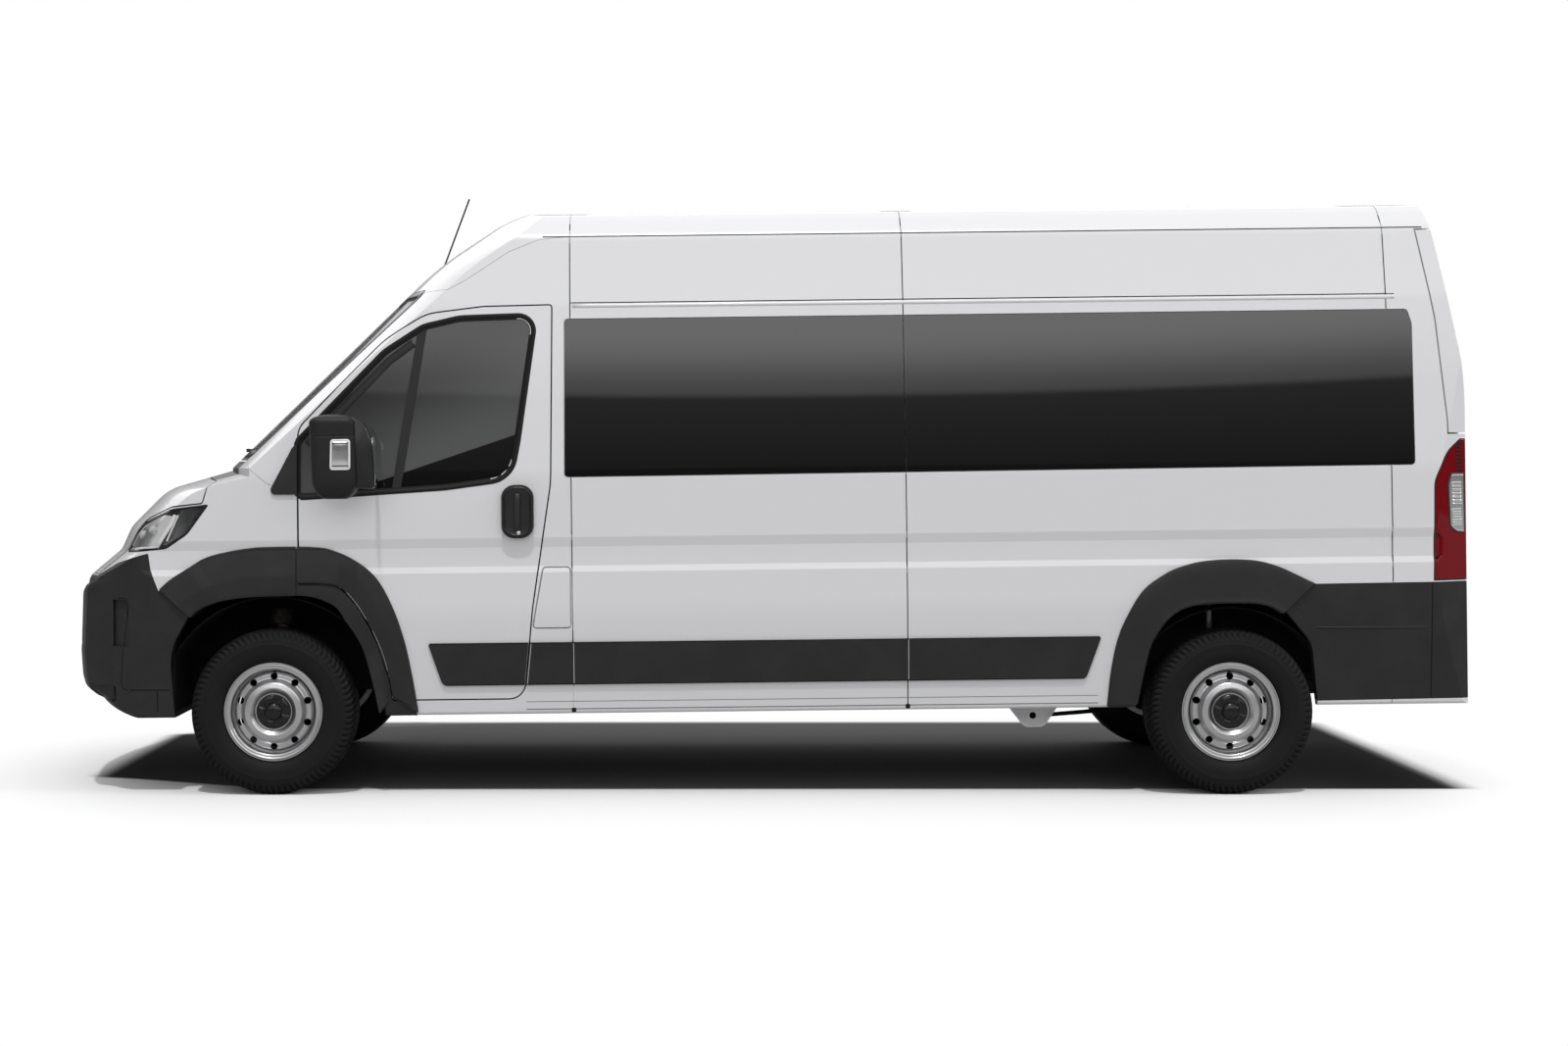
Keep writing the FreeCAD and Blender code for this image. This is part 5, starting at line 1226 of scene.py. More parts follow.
class MINIBUS_OT_lamps(bpy.types.Operator):
    """Reflectors with a painted reflection, bulbs, white strips of painted highlight and dark tails of painted
    shade in the headlamps, and the parts of the tail lamps.
    """
    bl_idname = "minibus.lamps"
    bl_label = "Lamps"

    def execute(self, context):
        lens = ["headlamp_lenses"]
        bowl = [(-2676, 1026, 8), (-2610, 1136, 55), (-2494, 1186, 80), (-2446, 1170, 20), (-2520, 1046, 30)]
        tail = [(-2436, 1176, 20), (-2452, 1196, 20), (-2330, 1218, 6), (-2404, 1108, 80), (-2496, 1052, 20),
                (-2506, 1058, 5)]

        def dish(a, b, u, v):
            """A shallow bowl with fine upright flutes, deepest a little below its middle."""
            deep = (1 - (2 * u - 1) ** 2) * (1 - (2 * v - 0.9) ** 2)
            return -0.009 - 0.010 * np.clip(deep, 0, 1) + 0.0001 * np.cos(u * 90)

        reflector = plate(lens, LEFT, bowl, dish, 0.003, 160, 24)
        # the headlamp's dark tail, darker towards the rear as painted shade
        housing = plate(lens, LEFT, tail, lambda a, b, u, v: -0.009 - 0.010 * np.sin(np.pi * v), 0.003, 50, 16)
        # White strips under the lens: painted highlights along the reflector's edges
        blade = spaced([(-2.530, 1.045), (-2.512, 1.075), (-2.470, 1.140), (-2.452, 1.182)], 0.01)
        bright = band(lens, LEFT, blade, [(-8, -10), (-7, -4.0), (0, -2.6), (6, -4.0), (8, -10)])
        second = spaced([(-2.487, 1.072), (-2.465, 1.121), (-2.438, 1.181)], 0.01)
        inner = spaced([(-2.664, 1.050), (-2.640, 1.095), (-2.601, 1.135)], 0.01)
        thin = [band(lens, LEFT, line, [(-3.5, -10), (-3, -3.5), (3, -3.5), (3.5, -10)])
                for line in (second, inner)]
        under = spaced([(-2.680, 1.030), (-2.600, 1.043), (-2.530, 1.047)], 0.01)
        lip = band(lens, LEFT, under, [(-4, -8), (-3, -3), (4, -3), (5, -8)])
        edge = outline(HEADLAMP, 0.010)
        rim_section = [(-9, -4), (-8, 0.5), (-5, 1.2), (-2, 0.5), (-2, -4)]
        rim = band(["headlamps"] + lens, LEFT, edge, rim_section, True)
        bulbs = [rounded_block((-0.019,) * 3, (0.019,) * 3, 1.0, 16, 32)
                 + laid(lens, LEFT, np.array([place]), -0.018)[0] for place in BULBS]
        for part, grids, material in (
                ("reflector", [reflector], "bowl"), ("housing", [housing], "lamp_tail_shade"),
                ("blade", [bright, lip] + thin, "painted_lamp_highlight"), ("rim", [rim], "gloss_black"),
                ("bulbs", bulbs, "lamp_glass")):
            on_both("headlamp_" + part, grids, "body", material, 35, rings=part == "rim")
        self.tail_lamps()
        return {"FINISHED"}

    def tail_lamps(self):
        """A clear inset with its two chambers, over the red lens."""
        lens = ["tail_lamp_lenses"]
        inset = plate(lens, LEFT, TAIL_LAMP_INSET, 0.0018, 0.003, 20, 30)
        frame_ring = band(lens, LEFT, outline(TAIL_LAMP_INSET, 0.008),
                          [(-2, -1), (-2, 2.4), (3, 2.6), (4, -1)], True)
        cells = [plate(lens, LEFT, [(2924, low, 6), (2920, high, 6), (2968, high, 4), (2970, low, 4)],
                       lambda a, b, u, v: 0.0024 + 0.0015 * np.cos(v * 40), 0.002, 14, 40)
                 for low, high in ((1078, 1150), (1166, 1262))]
        stripes = [plate(lens, LEFT, [(2940, low, 1), (2944, low + 8, 1), (2974, low + 8, 1), (2974, low, 1)],
                         0.001, 0.002, 8, 4) for low in range(1306, 1420, 16)]
        z = np.linspace(0.940, 1.140, 24)
        base = skin(lens, LEFT, np.stack([0 * z + 2.900, z], -1))
        y = np.linspace(2.836, 2.896, 12)
        raised = base[:, None] + np.interp(y, [2.836, 2.842, 2.880, 2.896], [0, 0.002, 0.002, -0.001])[None]
        front = joined(raised, y[None], z[:, None])
        filler = raked(two_faced(front, front - (0.003, 0, 0)))
        for part, grids, slot, material, ring_shaped in (
                ("tail_lens_front", [filler], "lamp_red", "lamp_red", False),
                ("tail_stripes", stripes, "lamp_red", "seal", False),
                ("tail_inset", [inset], "lamp_clear", "pale_chrome", False),
                ("tail_inset_frame", [frame_ring], "lamp_clear", "smoke", True),
                ("tail_cells", cells, "lamp_clear", "chrome", False)):
            on_both(part, grids, "body", material, rings=ring_shaped)


# ---- plastic trims ----
MOULDING_TOP, MOULDING_FOOT = 0.6265, 0.4515
# Pale lines painted across the moulding as highlights at its joints
MOULDING_ENDS = ((-0.9605, -0.979), (-0.782, -0.782), (0.626, 0.626))       # y above, y below
# Lines of painted shade along the sill's creases
SILL_LINES = ((0.377, 3.0), (0.345, 4.5))                                   # z, width in millimetres


class MINIBUS_OT_trims(bpy.types.Operator):
    """Smooth faces over the arch trims; painted shade in the dark edges of the side mouldings, grey sill lines,
    dark bumper seams and a dark splash guard; painted highlights at the mouldings' joints and the door's edge.
    """
    bl_idname = "minibus.trims"
    bl_label = "Plastic trims"

    def execute(self, context):
        curve = {name: smooth_curve(knots) for name, knots in TRIM_CURVES.items()}
        fixed = ["body_trims"]
        on_door = ["driver_door_trim", "driver_door"]
        half_gap = sideways(curve["door_edge"]) * 0.0045
        outside, inside = curve["door_edge"] + half_gap, curve["door_edge"] - half_gap

        def creased(t):
            """Rises from the outer edge to a fold past the middle, then falls back to the opening."""
            return np.minimum(t / 0.6, 1) * 10 - np.maximum(t - 0.6, 0) / 0.4 * 8

        def level(t):
            """Nearly flat, a little higher at the middle."""
            return 1.5 + 1.5 * np.sin(np.pi * t)

        def swollen(t):
            """Rounded over at the outer edge, then flat to a raised lip at the opening."""
            return 7 * np.sqrt(np.clip(t * 5, 0, 1)) + 2.5 * np.exp(-((t - 0.95) / 0.03) ** 2)

        def outer_half(t):
            """The outer part of the creased face, up to the door's edge."""
            return np.minimum(t / 0.5, 1) * 7 + 0 * t

        front = self.strip(fixed, curve["front_outer"], curve["front_inner"], creased, 0.20)
        lower = self.strip(fixed, inside, curve["door_inner"], level, 0.20)
        rear = self.strip(fixed, curve["rear_outer"], curve["rear_inner"], swollen, 0.22)
        door = self.strip(on_door, curve["door_outer"], outside, outer_half, 0.0)
        # a pale grey strip along the door's edge: painted highlight
        edge = band(on_door, LEFT, outside, [(-0.5, 2), (-0.5, 8.6), (2.2, 9.0), (3.0, 2)])
        # A thin near-black sheet at the front of the arch: a splash guard that also stands in as painted shade
        # inside the arch
        shade_sheet = raked(rounded_block((0.45, -2.476, 0.350), (0.965, -2.468, 0.640), 0.12, 12, 28))
        panel_line = [(-2797, 801, 0), (-2792, 826, 25), (-2654, 834, 14), (-2684, 620, 300), (-2696, 446, 30),
                      (-2488, 444, 0)]
        lines = [outline(panel_line, 0.012, False), spaced([(-2.540, 0.441), (-2.540, 0.352)], 0.012)]
        # near-black strips in the bumper's panel lines: painted shade
        fills = [MINIBUS_OT_seams.filler(["front_bumper"], line) for line in lines]
        fills.append(MINIBUS_OT_seams.filler(["rear_bumper"], spaced([(2.828, 0.838), (2.828, 0.360)], 0.02)))
        crease = band(["rear_bumper"], LEFT, spaced([(2.34, 0.655), (2.80, 0.652)], 0.03),
                      [(-10, -1), (-8, 0.4), (0, 3.0), (3, 0.4), (4, -1)])
        # dark slits along the mouldings' top and foot: painted shade along their edges
        edges = ((on_door[:1], -1.385, -0.972, MOULDING_TOP), (on_door[:1], -1.325, -0.994, MOULDING_FOOT),
                 (fixed, -0.955, 1.430, MOULDING_TOP), (fixed, -0.975, 1.365, MOULDING_FOOT))
        slit = [(-1.8, -4), (-1.8, 0.5), (1.8, 0.5), (1.8, -4)]
        dark = [band(nodes, LEFT, spaced([(first, z), (last, z)], 0.05), slit)
                for nodes, first, last, z in edges]
        # grey lines along the sill: painted shade of its creases
        sill = [band(["left_side_panel", "cab_frame"], LEFT, spaced([(-0.985, z), (1.425, z)], 0.05),
                     bead(width, 0.5)) for z, width in SILL_LINES]
        # pale lines across the moulding: painted highlights at its joints
        pale = [band(fixed, LEFT, spaced([(top, 0.623), (foot, 0.455)], 0.01), bead(3.4, 0.8))
                for top, foot in MOULDING_ENDS]
        pieces = (                # part, shapes, body, material
            ("moulding_shade_lines", dark[2:], "body", "seam_shade_black"),
            ("door_moulding_shade_lines", dark[:2], "door", "seam_shade_black"),
            ("moulding_end_highlights", pale, "body", "painted_moulding_highlight"),
            ("sill_lines", sill, "body", "grey_seam_shade"),
            ("front_arch_face", [front], "body", "dark_plastic"),
            ("arch_lower_face", [lower], "body", "dark_plastic"),
            ("door_arch_face", [door], "door", "dark_plastic"),
            ("door_arch_edge", [edge], "door", "door_edge_highlight"),
            ("rear_arch_face", [rear], "body", "dark_plastic"),
            ("splash_guard_shade", [shade_sheet], "body", "arch_black_and_shade"),
            ("bumper_seams", fills, "body", "seam_shade_black"),
            ("bumper_crease", [crease], "body", "dark_plastic"),
        )
        for part, grids, body, material in pieces:
            on_both(part, grids, body, material, 35)
        return {"FINISHED"}

    @staticmethod
    def strip(nodes, outer, inner, crown, depth, count=140):
        """A rounded strip between two curves, with an inward flange of the given depth along the second.

        Its base is the straight line through the skin's heights at a fifth and four fifths of the way.
        """
        s = np.linspace(0, 1, count)
        first, last = (np.stack([np.interp(s, np.linspace(0, 1, len(c)), c[:, k]) for k in (0, 1)], -1)
                       for c in (outer, inner))
        span = last - first
        low, high = (skin(nodes, LEFT, first + span * t) for t in (0.2, 0.8))
        t = np.array([0, 0, 0.02, 0.05, 0.1, 0.2, 0.35, 0.5, 0.58, 0.62, 0.7, 0.8, 0.88, 0.93, 0.96, 0.98, 1.0])
        proud = crown(t) + np.array([-12, -1.0, 0, 0.5] + [0.7] * 10 + [0.4, -0.6, -2.5])
        x = low[:, None] + (high - low)[:, None] * (t[None] - 0.2) / 0.6 + proud[None] / 1000
        flat = first[:, None] + span[:, None] * t[None, :, None]
        away = span / np.linalg.norm(span, axis=1, keepdims=True)
        tail = [(0.012, 0.0), (depth, 0.0), (depth, -0.004), (0.014, -0.005)] if depth else [(0.008, -0.001)]
        ends = [(x[:, -1] - inward, last + away * aside) for inward, aside in tail]
        x = np.concatenate([x] + [e[0][:, None] for e in ends], 1)
        flat = np.concatenate([flat] + [e[1][:, None] for e in ends], 1)
        return raked(np.concatenate([x[..., None], flat], -1))


# ---- front ----
FRONT_BAND = [(-930, 470, 20), (-930, 628, 22), (930, 628, 22), (930, 470, 20)]
FRONT_CORNER = [(500, 640, 30), (500, 878, 30), (750, 892, 100), (935, 915, 20), (935, 396, 30), (620, 396, 30)]
PLATE = [(-260, 474, 10), (-260, 584, 10), (260, 584, 10), (260, 474, 10)]
# Outlines of near-black plates on the bumper's side: painted shade in its hollows
BUMPER_SHELF = [(-2806, 634, 4), (-2800, 668, 8), (-2716, 634, 4)]
BUMPER_SCOOP = [(-2805, 392, 6), (-2758, 458, 10), (-2722, 462, 10), (-2722, 396, 12)]
SCREEN = [(-800, 1404, 40), (800, 1404, 40), (722, 2138, 70), (-722, 2138, 70)]


class MINIBUS_OT_front(bpy.types.Operator):
    """Bumper moulding and recess edges, near-black plates of painted shade in the bumper's hollows, blank
    plate, radiator and the dark border of the windscreen.
    """
    bl_idname = "minibus.front"
    bl_label = "Front end"

    def execute(self, context):
        bumper = ["front_bumper", "grille"]
        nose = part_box("front_bumper")[0][1]

        def horn(x, z, u, v):
            """Swells to 30 mm over the corners and dies out before they turn, and rounds over at its edges."""
            reach = np.clip((np.abs(x) - 0.52) / 0.2, 0, 1) * np.clip((0.945 - np.abs(x)) / 0.09, 0, 1)
            reach = reach * reach * (3 - 2 * reach)
            edge = inside(v, 12) ** 0.5
            return 0.001 + 0.030 * reach * edge

        def lip(x, z, u, v):
            """The corners' swelling with up to 5 mm more, rounded over above and below, and flat at the
            blank plate."""
            more = 0.005 * np.clip((np.abs(x) - 0.28) / 0.1, 0, 1)
            ends = inside(u, 30)
            return horn(x, z, 0.5, 0.5) + more * (1 - np.abs(2 * v - 1) ** 5) * ends

        at, low, high = reach_across(FRONT_CORNER, 90)
        v = np.linspace(0, 1, 44)[None]
        x, z = at[:, None] + 0 * v, low[:, None] + (high - low)[:, None] * v
        heights = [skin(bumper, FRONT, np.stack([x, level], -1)) for level in (z, 0 * z + 0.628, 0 * z + 0.836)]
        t = np.clip((z - 0.628) / 0.208, 0, 1)
        bridge = np.minimum(heights[0], heights[1] * (1 - t) + heights[2] * t)
        y = np.where((t > 0) & (t < 1), bridge, heights[0])
        front = raked(np.stack([x, y - horn(x, z, 0.5, v), z], -1))
        corner = two_faced(front, front + (0, 0.009, 0))
        moulding = plate(bumper, FRONT, FRONT_BAND, lip, 0.008, 160, 22)
        for name, grids in (("front_corners", [corner] + mirrored([corner])), ("front_moulding", [moulding])):
            for grid in grids:
                np.maximum(grid[..., 1], nose + 0.0004, out=grid[..., 1])
            sharpened(closed_shapes(name, grids, "body", "dark_plastic"), 40)
        number = plate(bumper, FRONT, PLATE, 0.006, 0.005, 60, 10)
        np.maximum(number[..., 1], nose + 0.0002, out=number[..., 1])
        closed_shapes("front_blank_plate", [number], "body", "plate_blank")
        # near-black plates: painted shade in the bumper's hollows
        shelf = plate(bumper[:1], LEFT, BUMPER_SHELF, 0.0012, 0.002, 20, 6)
        scoop = plate(bumper[:1], LEFT, BUMPER_SCOOP, 0.0012, 0.002, 24, 12)
        blade = band(bumper[:1], LEFT, spaced([(-2.800, 0.396), (-2.745, 0.448)], 0.01),
                     [(-3.5, -1), (-3, 3.5), (3, 4.0), (4, -1)])
        for part, grid, material in (("bumper_hollow_shade", shelf, "seam_shade_black"), ("bumper_scoop_shade", scoop, "seam_shade_black"),
                                     ("bumper_blade", blade, "dark_plastic")):
            on_both(part, [grid], "body", material)
        border = band(["windscreen"], FRONT, outline(SCREEN, 0.03),
                      [(4, -1), (4, 0.8), (46, 0.8), (46, -1)], True)
        closed_shapes("windscreen_border", [border], "body", "gloss_black", rings=True)
        x = np.linspace(-0.40, 0.40, 260)
        fins = -2.775 + 0.006 * np.sign(np.sin(x * 2 * np.pi / 0.0125))
        grid = joined(x[:, None], fins[:, None], np.array([0.46, 0.47, 0.82, 0.83]))
        core = raked(two_faced(grid, grid * (1, 0, 1) + (0, -2.745, 0)))
        closed_shapes("radiator", [core], "body", "cast", False)
        return {"FINISHED"}


# ---- rear ----
REAR_WINDOW = [(110, 1340, 50), (790, 1340, 50), (770, 1985, 60), (110, 1985, 50)]
REAR_SWAGE = [(90, 700, 60), (830, 700, 60), (830, 1180, 60), (90, 1180, 60)]
HINGE_LEAF = ((838, -28), (838, 28), (720, 16), (720, -16))
HINGE_HEIGHTS = 780, 1300, 2060


class MINIBUS_OT_rear(bpy.types.Operator):
    """Hinges, handle, window seals, blank plate and high lamp of the rear doors."""
    bl_idname = "minibus.rear"
    bl_label = "Rear end"

    def execute(self, context):
        for side, sign, _ in SIDES:
            body = side + "_rear_door"
            window, panel = ([(sign * x, z, r) for x, z, r in corners] for corners in (REAR_WINDOW, REAR_SWAGE))
            seal = band([body, side + "_rear_glass"], REAR, outline(window, 0.02),
                        [(-3, -6), (-3, 1.2), (1, 2.2), (5, 1.2), (5, -6)], True)
            groove = band([body], REAR, outline(panel, 0.03),
                          [(-14, -1), (-8, 0.6), (0, 3.2), (8, 0.6), (14, -1)], True)
            closed_shapes(side + "_rear_window_seal", [seal], body, "seal", rings=True)
            closed_shapes(side + "_rear_door_swage", [groove], body, "body_paint", rings=True)
            hinges = [plate([body], REAR, [(sign * x, z + rise, 8) for x, rise in HINGE_LEAF],
                            0.004, 0.006, 16, 8) for z in HINGE_HEIGHTS]
            sharpened(closed_shapes(side + "_rear_hinges", hinges, body, "body_paint"))
        door, above = ["right_rear_door"], ["roof_panel", "rear_frame"]
        plates = (          # name, skin, corners, proud, thickness, points across and up, slot, material
            ("rear_handle_plate", door, rectangle(-170, 1010, -60, 1150, 30), 0.005, 0.007, 24, 16,
             "black_plastic", "black_plastic"),
            ("rear_blank_plate", door, clockwise(-600, 880, -80, 990, 8), 0.006, 0.004, 50, 8,
             "body_paint", "plate_blank"),
            ("rear_plate_lamp", door, clockwise(-560, 1006, -190, 1036, 8),
             lambda a, b, u, v: 0.016 - 0.008 * v, 0.014, 40, 8, "black_plastic", "black_plastic"),
            ("high_stop_lamp", above, rectangle(-150, 2372, 150, 2396, 12), 0.004, 0.006, 40, 8,
             "lamp_red", "deep_red"),
        )
        for name, nodes, corners, proud, thick, across, up, slot, material in plates:
            body = door[0] if nodes is door else "body"
            closed_shapes(name, [plate(nodes, REAR, corners, proud, thick, across, up)], body, material)
        at = laid(door, REAR, np.array([[-0.115, 1.090]]), 0.018)[0]
        grip = rounded_block((-0.014, -0.022, -0.050), (0.014, -0.002, 0.050), 0.4) + at
        closed_shapes("rear_handle_grip", [grip], door[0], "gloss_black")
        steps = [band(["rear_bumper"], ABOVE, spaced([(-0.72, y), (0.72, y)], 0.05), bead(6, 2.0))
                 for y in (2.944, 2.957, 2.970)]
        closed_shapes("rear_step_ribs", steps, "body", "seal")
        return {"FINISHED"}


# ---- roof and underside ----
RIB_X = 0.12, 0.36, 0.60
RIB_RUNS = ((-0.72, 0.56), (0.69, 2.56))
ANTENNA_LEAN = math.radians(21)
HANGER = [(1058, 332, 0), (1306, 332, 0), (1230, 220, 36), (1144, 220, 36)]
HANGER_EYE = 1.182, 0.269


class MINIBUS_OT_roof(bpy.types.Operator):
    """Ribs along the roof, the antenna's foot, jacking marks, spring hangers and brake cables."""
    bl_idname = "minibus.roof"
    bl_label = "Roof ribs and small parts"

    def execute(self, context):
        ribs = []
        for x in sorted([-x for x in RIB_X] + list(RIB_X)):
            for low, high in RIB_RUNS:
                y = np.linspace(low, high, 60)
                first, second = (np.stack([x + k + 0 * y, y], -1) for k in (-0.032, 0.032))
                ribs.append(between(["roof_panel"], ABOVE, first, second, self.rib, 0.003, 60, 13))
        closed_shapes("roof_ribs", ribs, "body", "body_paint")
        at = laid(["cab_roof", "roof_panel"], ABOVE, np.array([[0.0, -1.405]]), 0.0)[0]
        foot = lathe([(-4, 0), (-4, 22), (4, 20), (14, 9), (24, 6.5), (26, 0)], 32)[..., [1, 2, 0]]
        closed_shapes("antenna_foot", [tipped(foot, -ANTENNA_LEAN) + at], "body", "seal")
        marks = [plate(["left_side_panel", "cab_frame"], LEFT, clockwise(y - 10, 330, y + 10, 350, 3),
                       0.0012, 0.003, 6, 6) for y in JACK_MARKS]
        on_both("jack_marks", marks, "body", "seal")
        ring = outline(HANGER, 0.008)
        centre = np.array(HANGER_EYE)
        angle = np.arctan2(*(ring - centre).T[::-1])[:, None]
        hole = centre + 0.0145 * np.concatenate([np.cos(angle), np.sin(angle)], 1)
        middle = centre + (0, 0.006)
        step = middle + (ring - middle) * 0.80
        section = [(ring, 0.7215), (hole, 0.7215), (hole, 0.7250), (step, 0.7250),
                   (step * 0.98 + ring * 0.02, 0.7290), (ring, 0.7290)]
        hanger = raked(np.stack([np.concatenate([np.full((len(r), 1), x), r], 1) for r, x in section], 1))
        disc = raked(lathe([(-2, 0), (-2, 16), (1, 16), (1, 0)], 24, (0.7225, *HANGER_EYE)))
        cable = raked(pipe([(0.60, 1.22, 0.256), (0.60, 1.40, 0.268), (0.60, 1.58, 0.282)], 0.0095, 10))
        on_both("hanger_bush", [disc], "body", "seam_shade_black")
        on_both("brake_cable", [cable], "body", "seam_shade_black")
        on_both("hanger_face", [hanger], "body", "white_plastic", 35, rings=True)
        return {"FINISHED"}

    @staticmethod
    def rib(s, t):
        """A raised wave across, fading out over its last tenth at each end."""
        return 0.0003 + 0.006 * np.sin(np.pi * t) ** 2 * np.clip(np.minimum(s, 1 - s) * 12, 0.02, 1) ** 0.7


# ---- inside ----
FLOOR_Z = 0.560
SWELL_FRAMES = 20
CAB_SEATS = ((0.260, 0.760), (-0.330, 0.130), (-0.790, -0.340))
PAIR = ((0.450, 0.880), (0.010, 0.440))
SINGLE = ((-0.880, -0.450),)
MIDDLE = ((-0.430, -0.010),)
ROWS = (("cab", -1.000, CAB_SEATS), ("row_1", -0.250, PAIR), ("row_2", 0.510, PAIR),
        ("row_3", 1.270, PAIR + SINGLE), ("row_4", 2.030, PAIR + SINGLE),
        ("row_5", 2.790, PAIR + SINGLE + MIDDLE))
SEAT_WIDTH = 0.43
# Pads of a seat of that width, from its middle and the y of its back: low corner, high corner, ease, cap
PADS = {
    "cushion": ((-0.205, -0.470, 0.872), (0.205, -0.062, 0.976), 0.36, 0.024),
    "back": ((-0.200, -0.052, 1.000), (0.200, 0.046, 1.512), 0.40, 0.024),
    "headrest": ((-0.118, -0.026, 1.530), (0.118, 0.044, 1.700), 0.50, 0.012),
}


class MinibusSeats(bpy.types.PropertyGroup):
    pressure: bpy.props.FloatProperty(
        name="Seat pressure", description="Pressure that swells the seat pads", default=4.0, min=0.0, max=20.0)
    voxel: bpy.props.FloatProperty(
        name="Seat mesh size", description="Edge length of the seat pads' mesh", default=0.013, min=0.004,
        unit="LENGTH")


class MINIBUS_OT_seats(bpy.types.Operator):
    """Padded seats with piping, each on its frame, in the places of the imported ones."""
    bl_idname = "minibus.seats"
    bl_label = "Seats"

    def execute(self, context):
        settings = context.scene.minibus_seats
        swelled = {kind: self.swell(context, kind, settings) for kind in PADS}
        for row, y, places in ROWS:
            node = "cab_seats" if row == "cab" else "cabin_seats"
            for kind, (points, faces) in swelled.items():
                copies = [points * ((x1 - x0) / SEAT_WIDTH, 1, 1) + ((x0 + x1) / 2, y, 0) for x0, x1 in places]
                quads = np.concatenate([faces + k * len(points) for k in range(len(places))])
                pad = mesh_object("%s_%s_pads" % (row, kind), raked(np.concatenate(copies)), quads)
                settle(pad, "body", MATERIALS["seat_fabric"])
                if kind == "cushion":
                    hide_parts(node)
            self.frames(row, y, places)
        return {"FINISHED"}

    def swell(self, context, kind, settings):
        """A rounded block remeshed to even squares and blown up by cloth under pressure, no point
        moving further than its cap."""
        low, high, ease, cap = PADS[kind]
        grid = capped(rounded_block(low, high, ease, 40, 80))
        seed = mesh_object("seed_" + kind, grid, outward(grid, grid_faces(*grid.shape[:2], False, True)))
        remesh = seed.modifiers.new("even", "REMESH")
        remesh.mode = "VOXEL"
        remesh.voxel_size = settings.voxel
        mesh = bpy.data.meshes.new_from_object(seed.evaluated_get(context.evaluated_depsgraph_get()))
        seed.modifiers.clear()
        seed.data = mesh
        points = pulled(mesh.vertices, "co", 3).astype(float)
        faces = pulled(mesh.loops, "vertex_index", 1, np.int32).reshape(-1, 4)
        cloth = seed.modifiers.new("swell", "CLOTH")
        cloth.settings.use_pressure = True
        cloth.settings.uniform_pressure_force = settings.pressure
        cloth.settings.effector_weights.gravity = 0.0
        for step in range(1, SWELL_FRAMES + 1):
            context.scene.frame_set(step)
        final = seed.evaluated_get(context.evaluated_depsgraph_get()).data
        shift = pulled(final.vertices, "co", 3) - points
        length = np.linalg.norm(shift, axis=1, keepdims=True)
        points = points + shift * np.minimum(1.0, cap / np.maximum(length, 1e-6))
        context.scene.frame_set(1)
        bpy.data.objects.remove(seed)
        return points, faces

    @staticmethod
    def post(x, y, low, high, radius, sides):
        """An upright tube."""
        return raked(pipe([(x, y, low), (x, y, high)], radius, sides, up=(0, 1, 0)))

    def frames(self, row, y, places):
        """Piping round the pads, headrest stems, side shields and legs."""
        piping, metal, shields = [], [], []
        for x0, x1 in places:
            w, mid = (x1 - x0) / 2, (x0 + x1) / 2
            around = circle(72)
            c, s = np.cos(around), np.sin(around)
            squared = power(np.stack([c, s], -1), 0.36)
            seat_ring = np.stack([mid + squared[:, 0] * (w - 0.006), y - 0.266 + squared[:, 1] * 0.208,
                                  np.full(72, 0.940)], -1)
            back_ring = np.stack([mid + squared[:, 0] * (w - 0.010), np.full(72, y - 0.040),
                                  1.256 + squared[:, 1] * 0.258], -1)
            piping += [raked(pipe(seat_ring, 0.0035, 6, closed=True)),
                       raked(pipe(back_ring, 0.0035, 6, up=(0, 1, 0), closed=True))]
            metal += [self.post(mid + dx, y + 0.010, 1.480, 1.560, 0.006, 10) for dx in (-0.05, 0.05)]
            reach = min(1.0, (w - 0.05) / 0.16)
            legs = [mid + dx * reach for dx in (-0.14, 0.14)]
            metal += [self.post(x, y + dy, FLOOR_Z, 0.868, 0.014, 12) for x in legs for dy in (-0.36, -0.10)]
            metal += [raked(pipe([(x, y - 0.42, 0.846), (x, y - 0.06, 0.846)], 0.012, 10)) for x in legs]
            pan = rounded_block((x0 + 0.012, y - 0.44, 0.842), (x1 - 0.012, y - 0.03, 0.880), 0.2, 12, 28)
            shields.append(raked(pan))
        closed_shapes(row + "_seat_piping", piping, "body", "seal", rings=True)
        closed_shapes(row + "_seat_metal", metal, "body", "steel")
        closed_shapes(row + "_seat_pans", shields, "body", "door_card")


WHEEL_HUB = 0.500, -1.560, 1.180
COLUMN_LEAN = math.radians(32)
# Knobs of the dashboard: x, z, radius in millimetres
KNOBS = ((-0.10, 1.03, 17), (0.0, 1.03, 17), (0.10, 1.03, 17), (-0.66, 1.205, 30), (0.80, 1.16, 30))


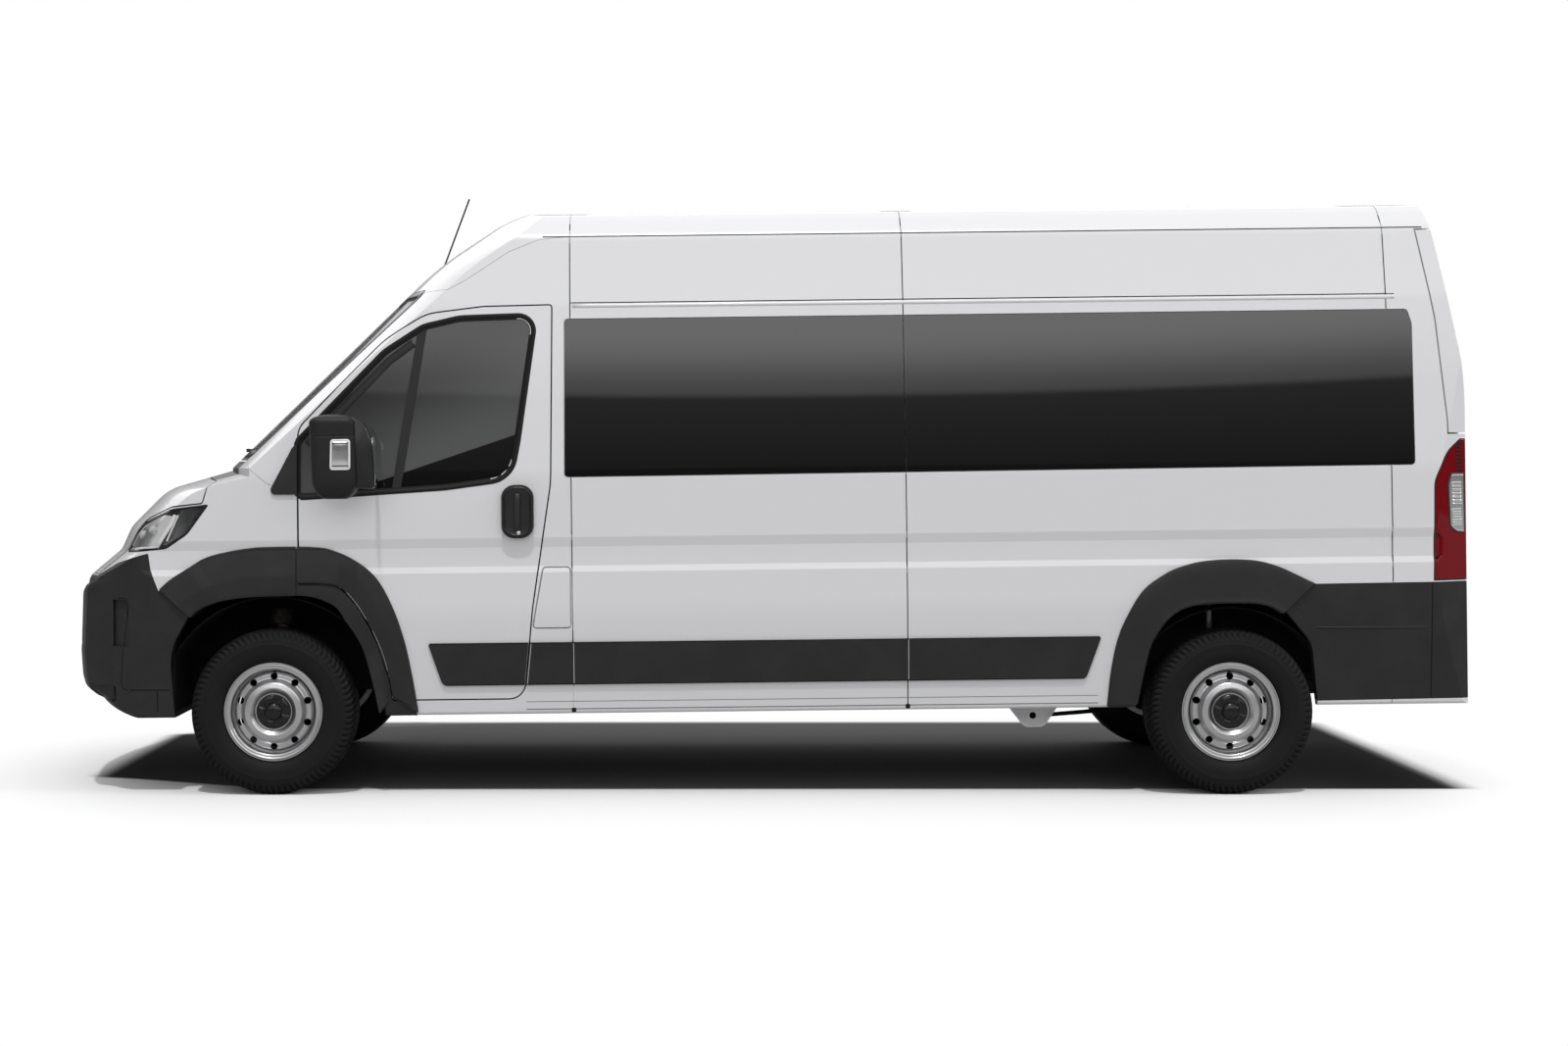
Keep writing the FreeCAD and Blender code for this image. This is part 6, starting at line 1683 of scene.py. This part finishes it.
class MINIBUS_OT_cab(bpy.types.Operator):
    """Instrument hoods, screens and knobs on the dashboard, the steering wheel's pad and rim, the door cards
    and the floor covering.
    """
    bl_idname = "minibus.cab"
    bl_label = "Cab interior"

    def execute(self, context):
        blocks = [
            rounded_block((0.28, -1.93, 1.235), (0.72, -1.70, 1.325), 0.35, 20, 40),
            rounded_block((-0.20, -1.735, 0.98), (0.20, -1.690, 1.235), 0.2, 20, 40),
            rounded_block((-0.76, -1.735, 1.00), (-0.30, -1.672, 1.150), 0.2, 20, 40),
        ]
        closed_shapes("dashboard_hoods", [raked(b) for b in blocks], "body", "door_card")
        screen = [rounded_block((-0.13, -1.694, 1.10), (0.13, -1.684, 1.215), 0.12, 12, 40),
                  rounded_block((0.34, -1.712, 1.246), (0.66, -1.694, 1.308), 0.2, 12, 40)]
        closed_shapes("dashboard_screens", [raked(b) for b in screen], "body", "gloss_black")
        knobs = [lathe([(0, 0), (0, r), (14, r), (16, r - 3), (12, r - 6), (12, 0)], 40)[..., [1, 0, 2]]
                 + (x, -1.690, z) for x, z, r in KNOBS]
        closed_shapes("dashboard_knobs", [raked(k) for k in knobs], "body", "black_plastic")
        self.steering()
        self.door_cards()
        mat = plate(["floor_pan"], ABOVE, rectangle(-860, -780, 860, 1480, 20), 0.003, 0.002, 60, 40)
        closed_shapes("floor_covering", [mat], "body", "carpet")
        return {"FINISHED"}

    def steering(self):
        """Padded boss and a thicker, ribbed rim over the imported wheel."""
        block = rounded_block((-0.085, -0.075, -0.012), (0.085, 0.075, 0.042), 0.5, 20, 44)
        pad = tipped(block, -COLUMN_LEAN) + WHEEL_HUB
        a = circle(180)
        ring = np.stack([0.190 * np.cos(a), 0.190 * np.sin(a), 0 * a], -1)
        thick = 0.0172 + 0.0012 * np.clip(np.cos(a * 4), 0, 1)
        rim = tipped(pipe(ring, thick[:, None, None], 12, closed=True), -COLUMN_LEAN) + WHEEL_HUB
        closed_shapes("steering_pad", [raked(pad)], "steering_wheel", "door_card")
        closed_shapes("steering_rim", [raked(rim)], "steering_wheel", "black_plastic",
                      rings=True)

    def door_cards(self):
        """Linings of the cab doors, on the inner skin."""
        card = [(-1840, 960, 20), (-1840, 1235, 20), (-1040, 1235, 60), (-1060, 800, 60), (-1100, 480, 40),
                (-1480, 480, 40), (-1600, 780, 60), (-1700, 950, 40)]

        def padded(a, b, u, v):
            """Raised where the arm rests, with a pocket's lip below."""
            rest = np.exp(-((b - 1.06) / 0.03) ** 2) * inside(u, 6)
            lip = np.exp(-((b - 0.66) / 0.015) ** 2) * inside(u, 6)
            return 0.002 + 0.035 * rest + 0.015 * lip

        panel = plate(["driver_door"], INSIDE, card, padded, 0.003, 60, 60)
        on_both("door_card", [panel], "door", "door_card")


# ---- panel and run ----
OPERATORS = (MINIBUS_OT_stage, MINIBUS_OT_finishes, MINIBUS_OT_tyres, MINIBUS_OT_wheels, MINIBUS_OT_seams,
             MINIBUS_OT_doors, MINIBUS_OT_mirrors, MINIBUS_OT_lamps, MINIBUS_OT_trims, MINIBUS_OT_front,
             MINIBUS_OT_rear, MINIBUS_OT_roof, MINIBUS_OT_seats, MINIBUS_OT_cab)
GROUPS = {"minibus_stage": MinibusStage, "minibus_wheels": MinibusWheels, "minibus_seats": MinibusSeats}


class MINIBUS_PT_panel(bpy.types.Panel):
    """Lists every step of the finish in the sidebar."""
    bl_idname = "MINIBUS_PT_panel"
    bl_label = "Minibus"
    bl_space_type = "VIEW_3D"
    bl_region_type = "UI"
    bl_category = "Minibus"

    def draw(self, context):
        for name, group in GROUPS.items():
            box = self.layout.box()
            for key in group.__annotations__:
                box.prop(getattr(context.scene, name), key)
        for operator in OPERATORS:
            self.layout.operator(operator.bl_idname)


def register():
    for group in GROUPS.values():
        bpy.utils.register_class(group)
    for name, group in GROUPS.items():
        setattr(bpy.types.Scene, name, bpy.props.PointerProperty(type=group))
    for item in OPERATORS + (MINIBUS_PT_panel,):
        bpy.utils.register_class(item)


def unregister():
    for item in (MINIBUS_PT_panel,) + OPERATORS[::-1]:
        bpy.utils.unregister_class(item)
    for name in GROUPS:
        delattr(bpy.types.Scene, name)
    for group in GROUPS.values():
        bpy.utils.unregister_class(group)


def main():
    register()
    for operator in OPERATORS:
        module, name = operator.bl_idname.split(".")
        getattr(getattr(bpy.ops, module), name)()


if __name__ == "__main__":
    main()
